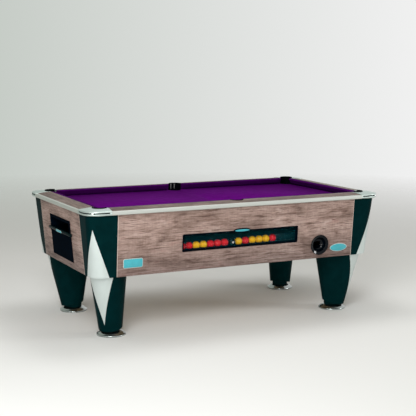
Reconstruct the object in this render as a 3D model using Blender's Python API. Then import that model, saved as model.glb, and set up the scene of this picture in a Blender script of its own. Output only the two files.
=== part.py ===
"""Coin-operated pool table: a leaning-sided cabinet on tapered legs, in metres with +Z up.

The head end, with the ball hopper, is at -X and the side with the window is at -Y.
Sizes come first, then the shape makers, then the pieces from the floor up.
"""

import math

import bmesh
import bpy
from mathutils import Matrix, Vector

# Sizes that can each be set by themselves.
GAP = 0.0003              # between faces that touch
BALL_R = 0.0254
BALL_COUNT = 15
BALL_BITE = 0.0001        # overlap of two touching balls, so that the row is one solid
CUE_R = 0.0238            # the smaller cue ball
FIELD_X = 0.9175          # half the playing field, nose to nose
FIELD_Y = 0.4525
RAIL_W = 0.1375           # cushion nose to the outer face of the trim
CUSHION_W = 0.0320
TRIM_T = 0.016
TRIM_H = 0.0210
TRIM_PROUD = 0.022        # trim face to cabinet face
CROWN = 0.0440            # top of the rails above the bed
NOSE_H = 0.0345           # cushion nose above the bed
CAB_BOTTOM = 0.400
CAB_H = 0.3785
PANEL_RISE = 0.0085       # panels and posts above the bed
POST_W = 0.183            # post along each side at its top
POST_R = 0.080            # plan radius of a post's corner
POST_STEPS = 10           # facets round a corner
LEAN = 0.0335             # how far the sides come in over the cabinet's height
PANEL_T = 0.022
BOARD_T = 0.018
SLATE_T = 0.019
CLOTH_T = 0.0012
BEARER_X = 0.45
BEARER_W = 0.040
BEARER_H = 0.050
POCKET_R = 0.041          # inside of a pocket liner
LINER_T = 0.005
LINER_UP = 0.0065         # pocket rims above the rails
LINER_DROP = 0.045        # liner below the slate
POCKET_IN = 0.0195        # corner pocket centre in front of the rails' inner edges
MIDDLE_D = 0.115          # middle pocket centre in from the side trim face
CAP_R = 0.095             # corner cap's plan radius
CAP_ARM = 0.160           # corner cap's reach along each side
CAP_BEVEL = 0.014         # extra reach at the arm's inner end
CAP_SLIT_H = 0.0070
CAP_SLIT_D = 0.007
JAW_R = 0.042             # length over which a cushion's end turns into the pocket
JAW_OPEN = 0.166          # cushion end in from the crossing trim face
MIDDLE_OPEN = 0.049       # cushion end from the middle of the side
LEG_TOP_LONG = 0.155      # half the leg's top along the corner's diagonal
LEG_TOP_WIDE = 0.106      # half the leg's top across it
LEG_TOP_IN = 0.006        # leg's top in from the post's edges
LEG_FOOT_R = 0.0755
LEG_FOOT_IN = 0.022
LEG_FOOT_Z = 0.046
LEG_TILT = math.radians(11)
NECK_R = 0.055
FOOT_IN = 0.028           # levelling foot in from the post's edges
FOOT_R = 0.0925
FOOT_T = 0.012
FOOT_DOME = 0.018         # rise of the foot's top from its rim to the neck
FOOT_TRAVEL = 0.020       # how far a foot screws out
STEM_R = 0.0125
STEM_GRIP = 0.0505        # thread left in the leg with its foot right out
STEM_CLEAR = 0.0005
WINDOW_W = 0.4095         # half width of the clear opening
WINDOW_DROP = 0.200       # middle of the opening below the bed
WINDOW_H = 0.0475         # half height of the clear opening
FRAME_W = 0.0080
FRAME_PROUD = 0.004
SLEEVE_T = 0.0040
BOSS_W = 0.060            # half width of the oval boss over the window
BOSS_H = 0.0145
GLASS_T = 0.004
GLASS_IN = 0.012          # glass behind the cabinet's face
CUP_BACK = 0.206          # cup and sizing hole back from the trough's upper end
CUP_UP = 0.073            # cup's middle above the base board
CUP_R = 0.068
CUP_BORE = 0.049
CUP_DEPTH = 0.038
CUP_WALL = 0.004
CUP_PROUD = 0.006
FEED_T = 0.003            # the cue ball's short gutter into the cup
FEED_H = 0.015
FEED_CLEAR = 0.002
FEED_FALL = 0.004
HOPPER_Y = 0.195          # half width of the hopper's flange
HOPPER_DROP = 0.0705      # flange's top below the bed
HOPPER_H = 0.264
HOPPER_BORDER = 0.0175
HAND_H = 0.089            # bin's front wall below the flange's top
HOPPER_DEPTH = 0.150
HOPPER_WALL = 0.004
HOPPER_PROUD = 0.005
RIM_H = 0.016
RIM_OVER = 0.003          # rim past the flange's sides
RIM_PROUD = 0.012
RUN_D = 0.115             # middle line of the runs in from the trim faces
RUN_CLEAR = 0.0046
RUN_T = 0.004
RUN_H = 0.035
RUN_UNDER = 0.0022        # a ball in the run's high end under the pocket liners
RUN_SLOPE = 0.0235        # drop per length
FRONT_RUN_BACK = 0.140    # ends of the runs back from the trough's upper end
REAR_RUN_BACK = 0.050
BRACKET_W = 0.040
TROUGH_Y = 0.464          # ball centres in from the table's middle
TROUGH_SINK = 0.0582      # trough floor, at the table's middle, below the window's
TROUGH_SLOPE = 0.0107
TROUGH_CLEAR = 0.0018
TROUGH_T = 0.004
TROUGH_LIP = 0.010
TROUGH_BACK = 0.045
TROUGH_END = 0.80
STAY_W = 0.030            # trough and chute stays on the base board
GATE_X = -0.461
GATE_T = 0.004
GATE_SPACE = 0.002        # on each side of the gate's blade
PIVOT_UP = 0.0797         # gate's pivot above the trough floor
PIVOT_R = 0.004
PIVOT_CLEAR = 0.0003
LEVER_H = 0.038
LEVER_W = 0.012
BLADE_W = 0.044
BLADE_H = 0.080
EAR_T = 0.006
ROD_UP = 0.030            # push rod above the gate's pivot
ROD_W = 0.008
COIN_REST = 0.0016        # push rod short of the lever
COIN_W = 0.044
COIN_H = 0.016
COIN_IN = 0.050           # thick part of the slide behind the cabinet's face
COIN_OUT = 0.030
COIN_CLEAR = 0.0010
PLATE_W = 0.120
PLATE_H = 0.110
PLATE_T = 0.004
CASH_W = 0.140
CASH_H = 0.092
CASH_L = 0.240
CASH_WALL = 0.003
CASH_FRONT = 0.012
CASH_CLEAR = 0.0008
LOCK_R = 0.010
LOCK_LIFT = 0.047         # lock above the base board
LOCK_KEY = 0.030
CHUTE_Y = 0.120
CHUTE_CLEAR = 0.0046
CHUTE_STEP = 0.0025       # chute floor below the trough floor
CHUTE_SLOPE = 0.026

# Sizes that follow.
END_X = FIELD_X + RAIL_W
SIDE_Y = FIELD_Y + RAIL_W
BED = CAB_BOTTOM + CAB_H
SEAT = BED + GAP
CAB_TOP = BED + PANEL_RISE
RIM_SEAT = CAB_TOP + GAP
RAIL_TOP = BED + CROWN
BORDER_X = END_X - TRIM_PROUD - POST_W
BORDER_Y = SIDE_Y - TRIM_PROUD - POST_W
BACK_D = RAIL_W - CUSHION_W
POCKET_D = BACK_D + POCKET_IN
WINDOW_Z = BED - WINDOW_DROP
CUP_X = TROUGH_END - CUP_BACK
HOPPER_HIGH = BED - HOPPER_DROP
HOPPER_LOW = HOPPER_HIGH - HOPPER_H
HOPPER_SILL = HOPPER_HIGH - HAND_H
TROUGH_FLOOR = WINDOW_Z - TROUGH_SINK
PIVOT_Z = TROUGH_FLOOR + PIVOT_UP
LINER_R = POCKET_R + LINER_T
HOLE_R = LINER_R + 0.0005
SLATE_TOP = BED - CLOTH_T - GAP
SLATE_BOTTOM = SLATE_TOP - SLATE_T
RUN_TOP = SLATE_BOTTOM - LINER_DROP - 2 * BALL_R - RUN_UNDER
FRONT_RUN_END = TROUGH_END - FRONT_RUN_BACK
REAR_RUN_END = TROUGH_END - REAR_RUN_BACK
BOARD_TOP = CAB_BOTTOM + BOARD_T
BALL_SPAN = 2 * BALL_R - BALL_BITE
CUP_Z = BOARD_TOP + CUP_UP
STEM_H = FOOT_T + FOOT_DOME + FOOT_TRAVEL + STEM_GRIP
OUTLET = POCKET_D + 0.018
TROUGH_START = GATE_X + GATE_T / 2 + GATE_SPACE
SLOPE = math.atan(TROUGH_SLOPE)

WOOD = ((0.33, 0.24, 0.20), 0.45, 0.0)
DARK = ((0.012, 0.035, 0.032), 0.35, 0.0)
BLACK = ((0.01, 0.01, 0.011), 0.4, 0.0)
SILVER = ((0.72, 0.74, 0.74), 0.3, 1.0)
CHROME = ((0.80, 0.81, 0.82), 0.12, 1.0)
CLOTH = ((0.17, 0.012, 0.24), 0.95, 0.0)
STONE = ((0.16, 0.17, 0.18), 0.8, 0.0)
BOARD = ((0.45, 0.33, 0.21), 0.7, 0.0)
PAINT = ((0.02, 0.03, 0.029), 0.5, 0.0)
GLASS = ((0.75, 0.82, 0.82), 0.05, 0.0)
STEEL = ((0.55, 0.56, 0.57), 0.35, 1.0)
BALLS = ((0.75, 0.45, 0.04), 0.12, 0.0)


def clear_scene():
    for obj in list(bpy.data.objects):
        bpy.data.objects.remove(obj)


# Shape makers.

def add(name, points, faces, look):
    """Makes a named piece with its own material from points and faces."""
    mesh = bpy.data.meshes.new(name)
    mesh.from_pydata([tuple(p) for p in points], [], faces)
    shell = bmesh.new()
    shell.from_mesh(mesh)
    bmesh.ops.recalc_face_normals(shell, faces=shell.faces)
    shell.to_mesh(mesh)
    shell.free()
    obj = bpy.data.objects.new(name, mesh)
    bpy.context.scene.collection.objects.link(obj)
    colour, roughness, metallic = look
    material = bpy.data.materials.new(name)
    material.use_nodes = True
    surface = material.node_tree.nodes["Principled BSDF"]
    surface.inputs["Base Color"].default_value = (*colour, 1.0)
    surface.inputs["Roughness"].default_value = roughness
    surface.inputs["Metallic"].default_value = metallic
    mesh.materials.append(material)
    return obj


def loft(name, rings, look, closed=False):
    """Joins rings of equal counts. A closed loft comes back round to its first ring."""
    count = len(rings[0])
    points = [p for ring in rings for p in ring]
    faces = []
    for i in range(len(rings) if closed else len(rings) - 1):
        a = i * count
        b = (i + 1) % len(rings) * count
        for j in range(count):
            k = (j + 1) % count
            faces.append((a + j, a + k, b + k, b + j))
    if not closed:
        faces.append(tuple(range(count)))
        faces.append(tuple(range((len(rings) - 1) * count, len(rings) * count)))
    return add(name, points, faces, look)


def circle(centre, radius, axis, steps, start=0.0):
    """Points round an axis through the centre."""
    axis = Vector(axis).normalized()
    turn = Vector((0, 0, 1)).rotation_difference(axis)
    points = []
    for i in range(steps):
        a = start + 2 * math.pi * i / steps
        points.append(Vector(centre) + turn @ Vector((radius * math.cos(a), radius * math.sin(a), 0)))
    return points


def turned(name, profile, base, axis, look, steps=24, closed=False):
    """Turns (radius, height) points about an axis that starts at the base."""
    axis = Vector(axis).normalized()
    rings = [circle(Vector(base) + axis * h, r, axis, steps) for r, h in profile]
    return loft(name, rings, look, closed)


def box(name, low, high, look):
    (x0, y0, z0), (x1, y1, z1) = low, high
    plan = [(x0, y0), (x1, y0), (x1, y1), (x0, y1)]
    return loft(name, [[(x, y, z) for x, y in plan] for z in (z0, z1)], look)


def sheet_of(name, outline, x0, x1, look):
    """A flat piece square to X, from (y, z) points."""
    return loft(name, [[(x, y, z) for y, z in outline] for x in (x0, x1)], look)


def combine(obj, other, operation):
    """Cuts or joins another solid into a piece, and keeps only the result."""
    modifier = obj.modifiers.new(operation.lower(), "BOOLEAN")
    modifier.operation = operation
    modifier.solver = "EXACT"
    modifier.object = other
    other.hide_render = True
    other.display_type = "WIRE"
    graph = bpy.context.evaluated_depsgraph_get()
    made = bpy.data.meshes.new_from_object(obj.evaluated_get(graph))
    made.materials.clear()
    made.materials.append(obj.data.materials[0])
    obj.modifiers.clear()
    obj.data = made
    bpy.data.objects.remove(other)
    return obj


def cut(obj, other):
    return combine(obj, other, "DIFFERENCE")


def join(obj, other):
    return combine(obj, other, "UNION")


def set_origin(obj, point):
    """Puts a moving piece's origin on its joint."""
    obj.data.transform(Matrix.Translation(-Vector(point)))
    obj.location = point


# Places on the leaning cabinet: along it, up it, and out from its face.

def reach(z):
    """How far the cabinet's faces stand out from the posts' edges at a height."""
    return POST_W - LEAN * (BED - z) / CAB_H


def front(along, z, out):
    return (along, -(BORDER_Y + reach(z) + out), z)


def back(along, z, out):
    return (along, BORDER_Y + reach(z) + out, z)


def head(along, z, out):
    return (-(BORDER_X + reach(z) + out), along, z)


def foot(along, z, out):
    return (BORDER_X + reach(z) + out, along, z)


def slab(name, place, a0, a1, z0, z1, out0, out1, look):
    """A block that follows the lean of one side."""
    corners = [(a0, out0), (a1, out0), (a1, out1), (a0, out1)]
    return loft(name, [[place(a, z, o) for a, o in corners] for z in (z0, z1)], look)


def face_frame(name, place, half, z0, z1, profile, look):
    """A frame round an opening, from a profile of (past the edge, out from the face) points."""
    rings = []
    for sa, sz, z in ((-1, -1, z0), (1, -1, z0), (1, 1, z1), (-1, 1, z1)):
        rings.append([place(sa * (half + d), z + sz * d, o) for d, o in profile])
    return loft(name, rings, look, closed=True)


def corner_arc(sx, sy, z, inset, at=None):
    """Points round one corner of the cabinet at a height, from its end to its side."""
    out = reach(z if at is None else at) - POST_R
    points = []
    for i in range(POST_STEPS + 1):
        a = math.pi / 2 * i / POST_STEPS
        x = BORDER_X + out + (POST_R - inset) * math.cos(a)
        y = BORDER_Y + out + (POST_R - inset) * math.sin(a)
        points.append((sx * x, sy * y, z))
    return points


def plan_ring(z, inset, at=None):
    """The cabinet's outline at a height, drawn in by an inset."""
    ring = []
    for sx, sy in ((1, 1), (-1, 1), (-1, -1), (1, -1)):
        points = corner_arc(sx, sy, z, inset, at)
        ring += points if sx == sy else points[::-1]
    return ring


# Places on the rails: along a side, in from the trim's outer face, and up.

def front_rail(along, d, z):
    return (along, -(SIDE_Y - d), z)


def back_rail(along, d, z):
    return (along, SIDE_Y - d, z)


def head_rail(along, d, z):
    return (-(END_X - d), along, z)


def foot_rail(along, d, z):
    return (END_X - d, along, z)


def rail_length(name, place, half, profile, look):
    """A rail or trim between two corner caps, with ends that follow their bevel."""
    rings = []
    for side in (-1, 1):
        ends = [side * (half - CAP_ARM - CAP_BEVEL * d / BACK_D - GAP) for d, _ in profile]
        rings.append([place(end, d, z) for end, (d, z) in zip(ends, profile)])
    return loft(name, rings, look)


def cushion(name, place, low, high, look):
    """Rubber cushion whose ends turn away into the pockets."""
    section = [
        (0.0, SEAT), (0.0, RAIL_TOP - GAP), (0.50, RAIL_TOP - 0.0012), (0.85, RAIL_TOP - 0.0034),
        (1.0, BED + NOSE_H), (0.96, BED + NOSE_H - 0.0040), (0.25, SEAT),
    ]
    tip = 0.22
    stations = []
    for share in (0.0, 0.06, 0.2, 0.45, 0.7, 1.0):
        depth = tip + (1 - tip) * math.sqrt(1 - (1 - share) ** 2)
        stations.append((share * JAW_R, depth))
    places = [(low + t, depth) for t, depth in stations]
    places += [(high - t, depth) for t, depth in reversed(stations)]
    rings = []
    for along, depth in places:
        rings.append([place(along, BACK_D + GAP + k * depth * (CUSHION_W - GAP), z) for k, z in section])
    return loft(name, rings, look)


def gutter(name, path, floors, half, thick, left, right, look):
    """A U-shaped run along a plan path, mitred where it turns. Left and right are wall heights."""
    section = [
        (-half - thick, -thick), (half + thick, -thick), (half + thick, left), (half, left),
        (half, 0.0), (-half, 0.0), (-half, right), (-half - thick, right),
    ]
    points = [Vector(p) for p in path]
    ways = [(b - a).normalized() for a, b in zip(points, points[1:])]
    normals = [Vector((-w.y, w.x)) for w in ways]
    rings = []
    for i, (point, floor) in enumerate(zip(points, floors)):
        before = normals[max(i - 1, 0)]
        after = normals[min(i, len(normals) - 1)]
        mitre = (before + after) / (1 + before.dot(after))
        rings.append([(point.x + mitre.x * o, point.y + mitre.y * o, floor + h) for o, h in section])
    return loft(name, rings, look)


def falling(path, top, fall):
    """Floor heights along a path that drops steadily."""
    heights = [top]
    for a, b in zip(path, path[1:]):
        heights.append(heights[-1] - fall * (Vector(b) - Vector(a)).length)
    return heights


# Legs and feet.

def leg(name, sx, sy):
    """Leg that tapers from an oval to a slanted round end, with a neck and a hole for the foot's stem."""
    steps = 24
    top = Vector((sx * (BORDER_X - LEG_TOP_IN), sy * (BORDER_Y - LEG_TOP_IN), CAB_BOTTOM - GAP))
    low = Vector((sx * (BORDER_X - LEG_FOOT_IN), sy * (BORDER_Y - LEG_FOOT_IN), LEG_FOOT_Z))
    outward = Vector((sx, sy, 0)).normalized()
    across = Vector((-outward.y, outward.x, 0))
    tilted = outward * math.cos(LEG_TILT) - Vector((0, 0, 1)) * math.sin(LEG_TILT)
    rings = [[], []]
    for i in range(steps):
        a = 2 * math.pi * i / steps
        rings[0].append(low + LEG_FOOT_R * (tilted * math.cos(a) + across * math.sin(a)))
        rings[1].append(top + LEG_TOP_LONG * outward * math.cos(a) + LEG_TOP_WIDE * across * math.sin(a))
    body = loft(name, rings, DARK)
    neck_low = FOOT_T + FOOT_DOME + GAP
    foot_at = (sx * (BORDER_X - FOOT_IN), sy * (BORDER_Y - FOOT_IN), 0)
    neck = [(NECK_R, neck_low), (NECK_R, LEG_FOOT_Z + LEG_FOOT_R * 0.5)]
    join(body, turned("neck", neck, foot_at, (0, 0, 1), DARK, steps))
    hole = [(STEM_R + STEM_CLEAR, 0.0), (STEM_R + STEM_CLEAR, STEM_H + GAP)]
    cut(body, turned("stem_hole", hole, foot_at, (0, 0, 1), DARK, 16))
    return body


def levelling_foot(name, sx, sy):
    """Round foot with a domed top and the stem that screws up into the leg."""
    at = (sx * (BORDER_X - FOOT_IN), sy * (BORDER_Y - FOOT_IN), 0)
    edge = 0.003
    rim = FOOT_R - 2 * edge
    profile = [(FOOT_R - edge, 0.0), (FOOT_R, edge), (FOOT_R, FOOT_T - edge), (rim, FOOT_T)]
    for i in range(1, 5):
        share = i / 4
        profile.append((rim + (NECK_R - rim) * share, FOOT_T + FOOT_DOME * math.sin(math.pi / 2 * share)))
    profile += [(STEM_R, FOOT_T + FOOT_DOME), (STEM_R, STEM_H)]
    return turned(name, profile, at, (0, 0, 1), CHROME, 24)


# Cabinet.

def corner_post(name, sx, sy):
    """Rounded corner shell between two panels, flush with both and leaning in with them."""
    rings = []
    for z in (CAB_BOTTOM, CAB_TOP):
        ring = []
        for inset in (0.0, PANEL_T):
            far = reach(z) - inset
            side = [(sx * (BORDER_X + far), sy * BORDER_Y, z)]
            side += corner_arc(sx, sy, z, inset)
            side += [(sx * BORDER_X, sy * (BORDER_Y + far), z)]
            ring += side if inset == 0 else side[::-1]
        rings.append(ring)
    return loft(name, rings, DARK)


def panel(name, place, border):
    return slab(name, place, GAP - border, border - GAP, CAB_BOTTOM, CAB_TOP, -PANEL_T, 0.0, WOOD)


def front_panel():
    body = panel("front_panel", front, BORDER_X)
    edge = SLEEVE_T + GAP
    cut(body, slab("window_hole", front, -WINDOW_W - edge, WINDOW_W + edge, WINDOW_Z - WINDOW_H - edge,
                   WINDOW_Z + WINDOW_H + edge, -2 * PANEL_T, PANEL_T, WOOD))
    base, axis = cup_seat()
    hole = [(CUP_BORE + CUP_WALL + GAP, -2 * PANEL_T), (CUP_BORE + CUP_WALL + GAP, PANEL_T)]
    return cut(body, turned("cup_hole", hole, base, axis, WOOD, 32))


def back_panel():
    body = panel("back_panel", back, BORDER_X)
    cut(body, coin_slot("coin_hole", 0.3, 0.7))
    half = CASH_W / 2 + CASH_CLEAR
    cut(body, slab("cash_hole", back, GATE_X - half, GATE_X + half, BOARD_TOP,
                   BOARD_TOP + GAP + CASH_H + CASH_CLEAR, -2 * PANEL_T, PANEL_T, WOOD))
    return body


def head_panel():
    body = panel("head_panel", head, BORDER_Y)
    half = HOPPER_Y - HOPPER_BORDER + HOPPER_WALL + GAP
    edge = HOPPER_BORDER - HOPPER_WALL - GAP
    return cut(body, slab("hopper_hole", head, -half, half, HOPPER_LOW + edge, HOPPER_HIGH - edge,
                          -2 * PANEL_T, PANEL_T, WOOD))


def slate_bearer(name, x):
    top = SLATE_BOTTOM - GAP
    rings = []
    for z in (top - BEARER_H, top):
        y = BORDER_Y + reach(z) - PANEL_T - GAP
        rings.append([(x - BEARER_W / 2, -y, z), (x + BEARER_W / 2, -y, z),
                      (x + BEARER_W / 2, y, z), (x - BEARER_W / 2, y, z)])
    return loft(name, rings, BOARD)


# Bed, rails and pockets.

def pocket_list():
    """Each pocket's name, centre, way to the table's middle, and drop shift."""
    pockets = []
    for end, sx in (("head", -1), ("foot", 1)):
        for side, sy in (("front", -1), ("back", 1)):
            centre = Vector((sx * (END_X - POCKET_D), sy * (SIDE_Y - POCKET_D), 0))
            way = Vector((-sx, -sy, 0)).normalized()
            pockets.append((f"{end}_{side}_pocket_liner", centre, way, (OUTLET - POCKET_D) * math.sqrt(2)))
    for side, sy in (("front", -1), ("back", 1)):
        centre = Vector((0, sy * (SIDE_Y - MIDDLE_D), 0))
        pockets.append((f"{side}_middle_pocket_liner", centre, Vector((0, -sy, 0)), RUN_D - MIDDLE_D))
    return pockets


def bed_sheet(name, low, high, inset, look):
    """A flat piece over the whole bed, with its six pocket holes."""
    body = loft(name, [plan_ring(z, inset, SLATE_BOTTOM) for z in (low, high)], look)
    for _, centre, _, _ in pocket_list():
        profile = [(HOLE_R, low - 0.01), (HOLE_R, high + 0.01)]
        cut(body, turned("hole", profile, centre, (0, 0, 1), look, 20))
    return body


def pocket_liner(name, centre, way, shift):
    """Moulded pocket: a wall behind the ball, open to the table, over a slanted drop."""
    low = SLATE_BOTTOM - LINER_DROP
    top = RAIL_TOP + LINER_UP
    levels = [(top, 0.0), (SLATE_BOTTOM, 0.0), (low, shift)]
    rings = []
    for radius, order in ((LINER_R, levels), (POCKET_R, levels[::-1])):
        for z, out in order:
            rings.append(circle(centre + way * out + Vector((0, 0, z)), radius, (0, 0, 1), 20))
    body = loft(name, rings, BLACK, closed=True)
    across = Vector((-way.y, way.x, 0)) * 2 * LINER_R
    start = centre + way * 0.002
    plan = [start - across, start + across, start + across + way * 0.1, start - across + way * 0.1]
    mouth = [[p + Vector((0, 0, z)) for p in plan] for z in (SLATE_TOP, top + 0.01)]
    return cut(body, loft("mouth", mouth, BLACK))


def corner_cap(name, sx, sy):
    """Cast corner: a plate over a slit and a lower lip, cut round the pocket."""
    middle = RIM_SEAT + TRIM_H * 0.64
    slit_low = middle - CAP_SLIT_H / 2
    slit_high = middle + CAP_SLIT_H / 2
    round_edge = 0.006
    levels = [
        (RIM_SEAT, 0.011, False), (RIM_SEAT + 0.007, 0.0, False), (slit_low, 0.0, False),
        (slit_low, CAP_SLIT_D, False), (slit_high, CAP_SLIT_D, False), (slit_high, 0.0, False),
        (-round_edge, 0.0, True),
        (0.0, round_edge, True),
    ]

    bow = HOLE_R + GAP
    first = math.acos((BACK_D - POCKET_D) / bow)

    def top_at(u, v):
        share = min(min(u, v) / BACK_D, 1.0)
        edge = RIM_SEAT + TRIM_H + 0.003
        return edge + (RAIL_TOP - edge) * share

    rings = []
    for z, inset, on_top in levels:
        plan = [(CAP_ARM, inset)]
        for i in range(9):
            a = math.pi / 2 * i / 8
            plan.append((CAP_R - (CAP_R - inset) * math.sin(a), CAP_R - (CAP_R - inset) * math.cos(a)))
        plan += [(inset, CAP_ARM), (BACK_D, CAP_ARM + CAP_BEVEL)]
        for i in range(17):
            a = first + (math.radians(450) - 2 * first) * i / 16
            plan.append((POCKET_D + bow * math.cos(a), POCKET_D + bow * math.sin(a)))
        plan.append((CAP_ARM + CAP_BEVEL, BACK_D))
        ring = []
        for u, v in plan:
            height = top_at(u, v) + z if on_top else z
            ring.append((sx * (END_X - u), sy * (SIDE_Y - v), height))
        rings.append(ring)
    return loft(name, rings, SILVER)


def trim_profile():
    low = RIM_SEAT + 0.0008
    high = RIM_SEAT + TRIM_H
    return [(0.003, low), (0.0, low + 0.004), (0.0, high - 0.006), (0.0015, high - 0.0025),
            (0.005, high), (TRIM_T, high), (TRIM_T, low)]


def rail_profile():
    out = TRIM_T + GAP
    wide = BACK_D - out
    shoulder = RIM_SEAT + TRIM_H
    rise = RAIL_TOP - shoulder
    return [(out, RIM_SEAT), (out, shoulder - 0.0005), (out + 0.20 * wide, shoulder + 0.34 * rise),
            (out + 0.50 * wide, shoulder + 0.70 * rise), (out + 0.82 * wide, shoulder + 0.95 * rise),
            (BACK_D, RAIL_TOP), (BACK_D, RIM_SEAT)]


def long_rail(name, place, sy):
    body = rail_length(name, place, END_X, rail_profile(), WOOD)
    centre = (0, sy * (SIDE_Y - MIDDLE_D), 0)
    notch = [(HOLE_R + GAP, BED - 0.01), (HOLE_R + GAP, BED + 0.1)]
    return cut(body, turned("notch", notch, centre, (0, 0, 1), WOOD, 32))


# Window, cue-ball cup and hopper.

def window_frame():
    sleeve = -PANEL_T + 0.002
    bead = FRAME_PROUD * 0.6
    profile = [(0.0, FRAME_PROUD), (FRAME_W - 0.003, FRAME_PROUD), (FRAME_W, bead), (FRAME_W, GAP),
               (SLEEVE_T, GAP), (SLEEVE_T, sleeve), (0.0, sleeve)]
    body = face_frame("window_frame", front, WINDOW_W, WINDOW_Z - WINDOW_H, WINDOW_Z + WINDOW_H,
                      profile, BLACK)
    middle = WINDOW_Z + WINDOW_H + FRAME_W * 0.6
    rings = []
    for out, share in ((GAP, 1.0), (FRAME_PROUD, 1.0), (FRAME_PROUD + 0.002, 0.93)):
        ring = []
        for i in range(24):
            a = 2 * math.pi * i / 24
            ring.append(front(BOSS_W * share * math.cos(a), middle + BOSS_H * share * math.sin(a), out))
        rings.append(ring)
    return join(body, loft("boss", rings, BLACK))


def window_glass():
    return slab("window_glass", front, GAP - WINDOW_W, WINDOW_W - GAP, WINDOW_Z - WINDOW_H + GAP,
                WINDOW_Z + WINDOW_H - GAP, -GLASS_IN - GLASS_T, -GLASS_IN, GLASS)


def cup_seat():
    """Where the cue-ball cup meets the front panel, and the way out of it."""
    axis = Vector((0, -1, -LEAN / CAB_H)).normalized()
    return Vector(front(CUP_X, CUP_Z, 0.0)), axis


def cue_ball_cup():
    """Turned dish with a rolled lip, fed from behind by a short gutter under the trough."""
    base, axis = cup_seat()
    lip = CUP_R - CUP_BORE
    deep = CUP_BORE + CUP_WALL
    profile = [
        (CUP_BORE * 0.78, -CUP_DEPTH - CUP_WALL), (deep, -CUP_DEPTH * 0.6), (deep, GAP),
        (CUP_R - 0.002, GAP),
        (CUP_R, 0.4 * CUP_PROUD), (CUP_R - 0.25 * lip, CUP_PROUD), (CUP_R - 0.6 * lip, CUP_PROUD),
        (CUP_BORE, 0.2 * CUP_PROUD), (CUP_BORE, -CUP_DEPTH * 0.55), (CUP_BORE * 0.72, -CUP_DEPTH),
    ]
    ring = turned("cue_ball_cup", profile, base, axis, BLACK, 32)
    back_y = base.y + CUP_DEPTH
    floor = CUP_Z - CUP_BORE * 0.62
    feed = [(CUP_X, -TROUGH_Y + CUE_R + 2 * FEED_T), (CUP_X, back_y + FEED_T / 3)]
    half = CUE_R + FEED_CLEAR
    inlet = slab("inlet", front, CUP_X - half, CUP_X + half, floor, floor + 2 * CUE_R,
                 -CUP_DEPTH * 1.8, -CUP_DEPTH * 0.8, BLACK)
    cut(ring, inlet)
    join(ring, gutter("cup_feed", feed, [floor + FEED_FALL, floor], half, FEED_T, FEED_H, FEED_H, BLACK))
    return ring


def hopper():
    """Ball hopper: flange and proud rim on the head panel, with a bin behind."""
    inner = HOPPER_Y - HOPPER_BORDER
    low = HOPPER_LOW + HOPPER_BORDER
    high = HOPPER_HIGH - HOPPER_BORDER
    body = slab("hopper", head, -HOPPER_Y, HOPPER_Y, HOPPER_LOW, HOPPER_HIGH, GAP, HOPPER_PROUD, BLACK)
    join(body, slab("bin", head, -inner - HOPPER_WALL, inner + HOPPER_WALL, low - HOPPER_WALL,
                    high + HOPPER_WALL, -HOPPER_DEPTH, HOPPER_PROUD * 0.5, BLACK))
    rim = HOPPER_Y + RIM_OVER
    chamfer = 0.006
    side = [(rim, HOPPER_PROUD * 0.5), (rim - chamfer, RIM_PROUD - chamfer), (rim - 3 * chamfer, RIM_PROUD)]
    plan = side + [(-a, o) for a, o in reversed(side)]
    levels = (HOPPER_SILL - RIM_H, HOPPER_SILL)
    join(body, loft("rim", [[head(a, z, o) for a, o in plan] for z in levels], BLACK))
    cut(body, slab("bin_space", head, -inner, inner, low, high, -2 * HOPPER_DEPTH, -0.001, BLACK))
    cut(body, slab("hand_space", head, -inner, inner, HOPPER_SILL, high, -0.01, RIM_PROUD + 0.01, BLACK))
    join(body, slab("bin_back", head, -inner - 0.5 * HOPPER_WALL, inner + 0.5 * HOPPER_WALL,
                    low - 0.5 * HOPPER_WALL, chute_floors()[-1] - RUN_T - 0.0015, -HOPPER_DEPTH,
                    HOPPER_WALL - HOPPER_DEPTH, BLACK))
    return body


# Ball runs, trough, gate and chute.

def run_corner(sx, sy):
    """The two turning points of a run that passes under a corner pocket."""
    turn = 2 * OUTLET - RUN_D
    along = (sx * (END_X - turn), sy * (SIDE_Y - RUN_D))
    across = (sx * (END_X - RUN_D), sy * (SIDE_Y - turn))
    return along, across


def run_bracket(body, place, x, floor, wall_y):
    """Joins a bracket to a run, out to the panel behind it."""
    rings = []
    for z in (floor - RUN_T * 0.5, floor + RUN_H * 0.8):
        panel_y = place(x, z, -PANEL_T - GAP)[1]
        rings.append([(x - BRACKET_W / 2, wall_y, z), (x + BRACKET_W / 2, wall_y, z),
                      (x + BRACKET_W / 2, panel_y, z), (x - BRACKET_W / 2, panel_y, z)])
    return join(body, loft("bracket", rings, PAINT))


def ball_run(name, path, place, sy, stations):
    half = BALL_R + RUN_CLEAR
    floors = falling(path, RUN_TOP, RUN_SLOPE)
    body = gutter(name, path, floors, half, RUN_T, RUN_H, RUN_H, PAINT)
    lead = (Vector(path[1]) - Vector(path[0])).length
    for share in stations:
        x = share * BORDER_X
        floor = RUN_TOP - RUN_SLOPE * (lead + x - path[1][0])
        run_bracket(body, place, x, floor, sy * (SIDE_Y - RUN_D + half + RUN_T * 0.5))
    return body


def trough_floor(x):
    return TROUGH_FLOOR + TROUGH_SLOPE * x


def stay(body, x, y, floor):
    """Joins an upright stay that stands on the base board under a run."""
    half = STAY_W / 2
    low = (x - half, y - half * 0.8, BOARD_TOP + GAP)
    high = (x + half, y + half * 0.8, floor)
    return join(body, box("stay", low, high, PAINT))


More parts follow.
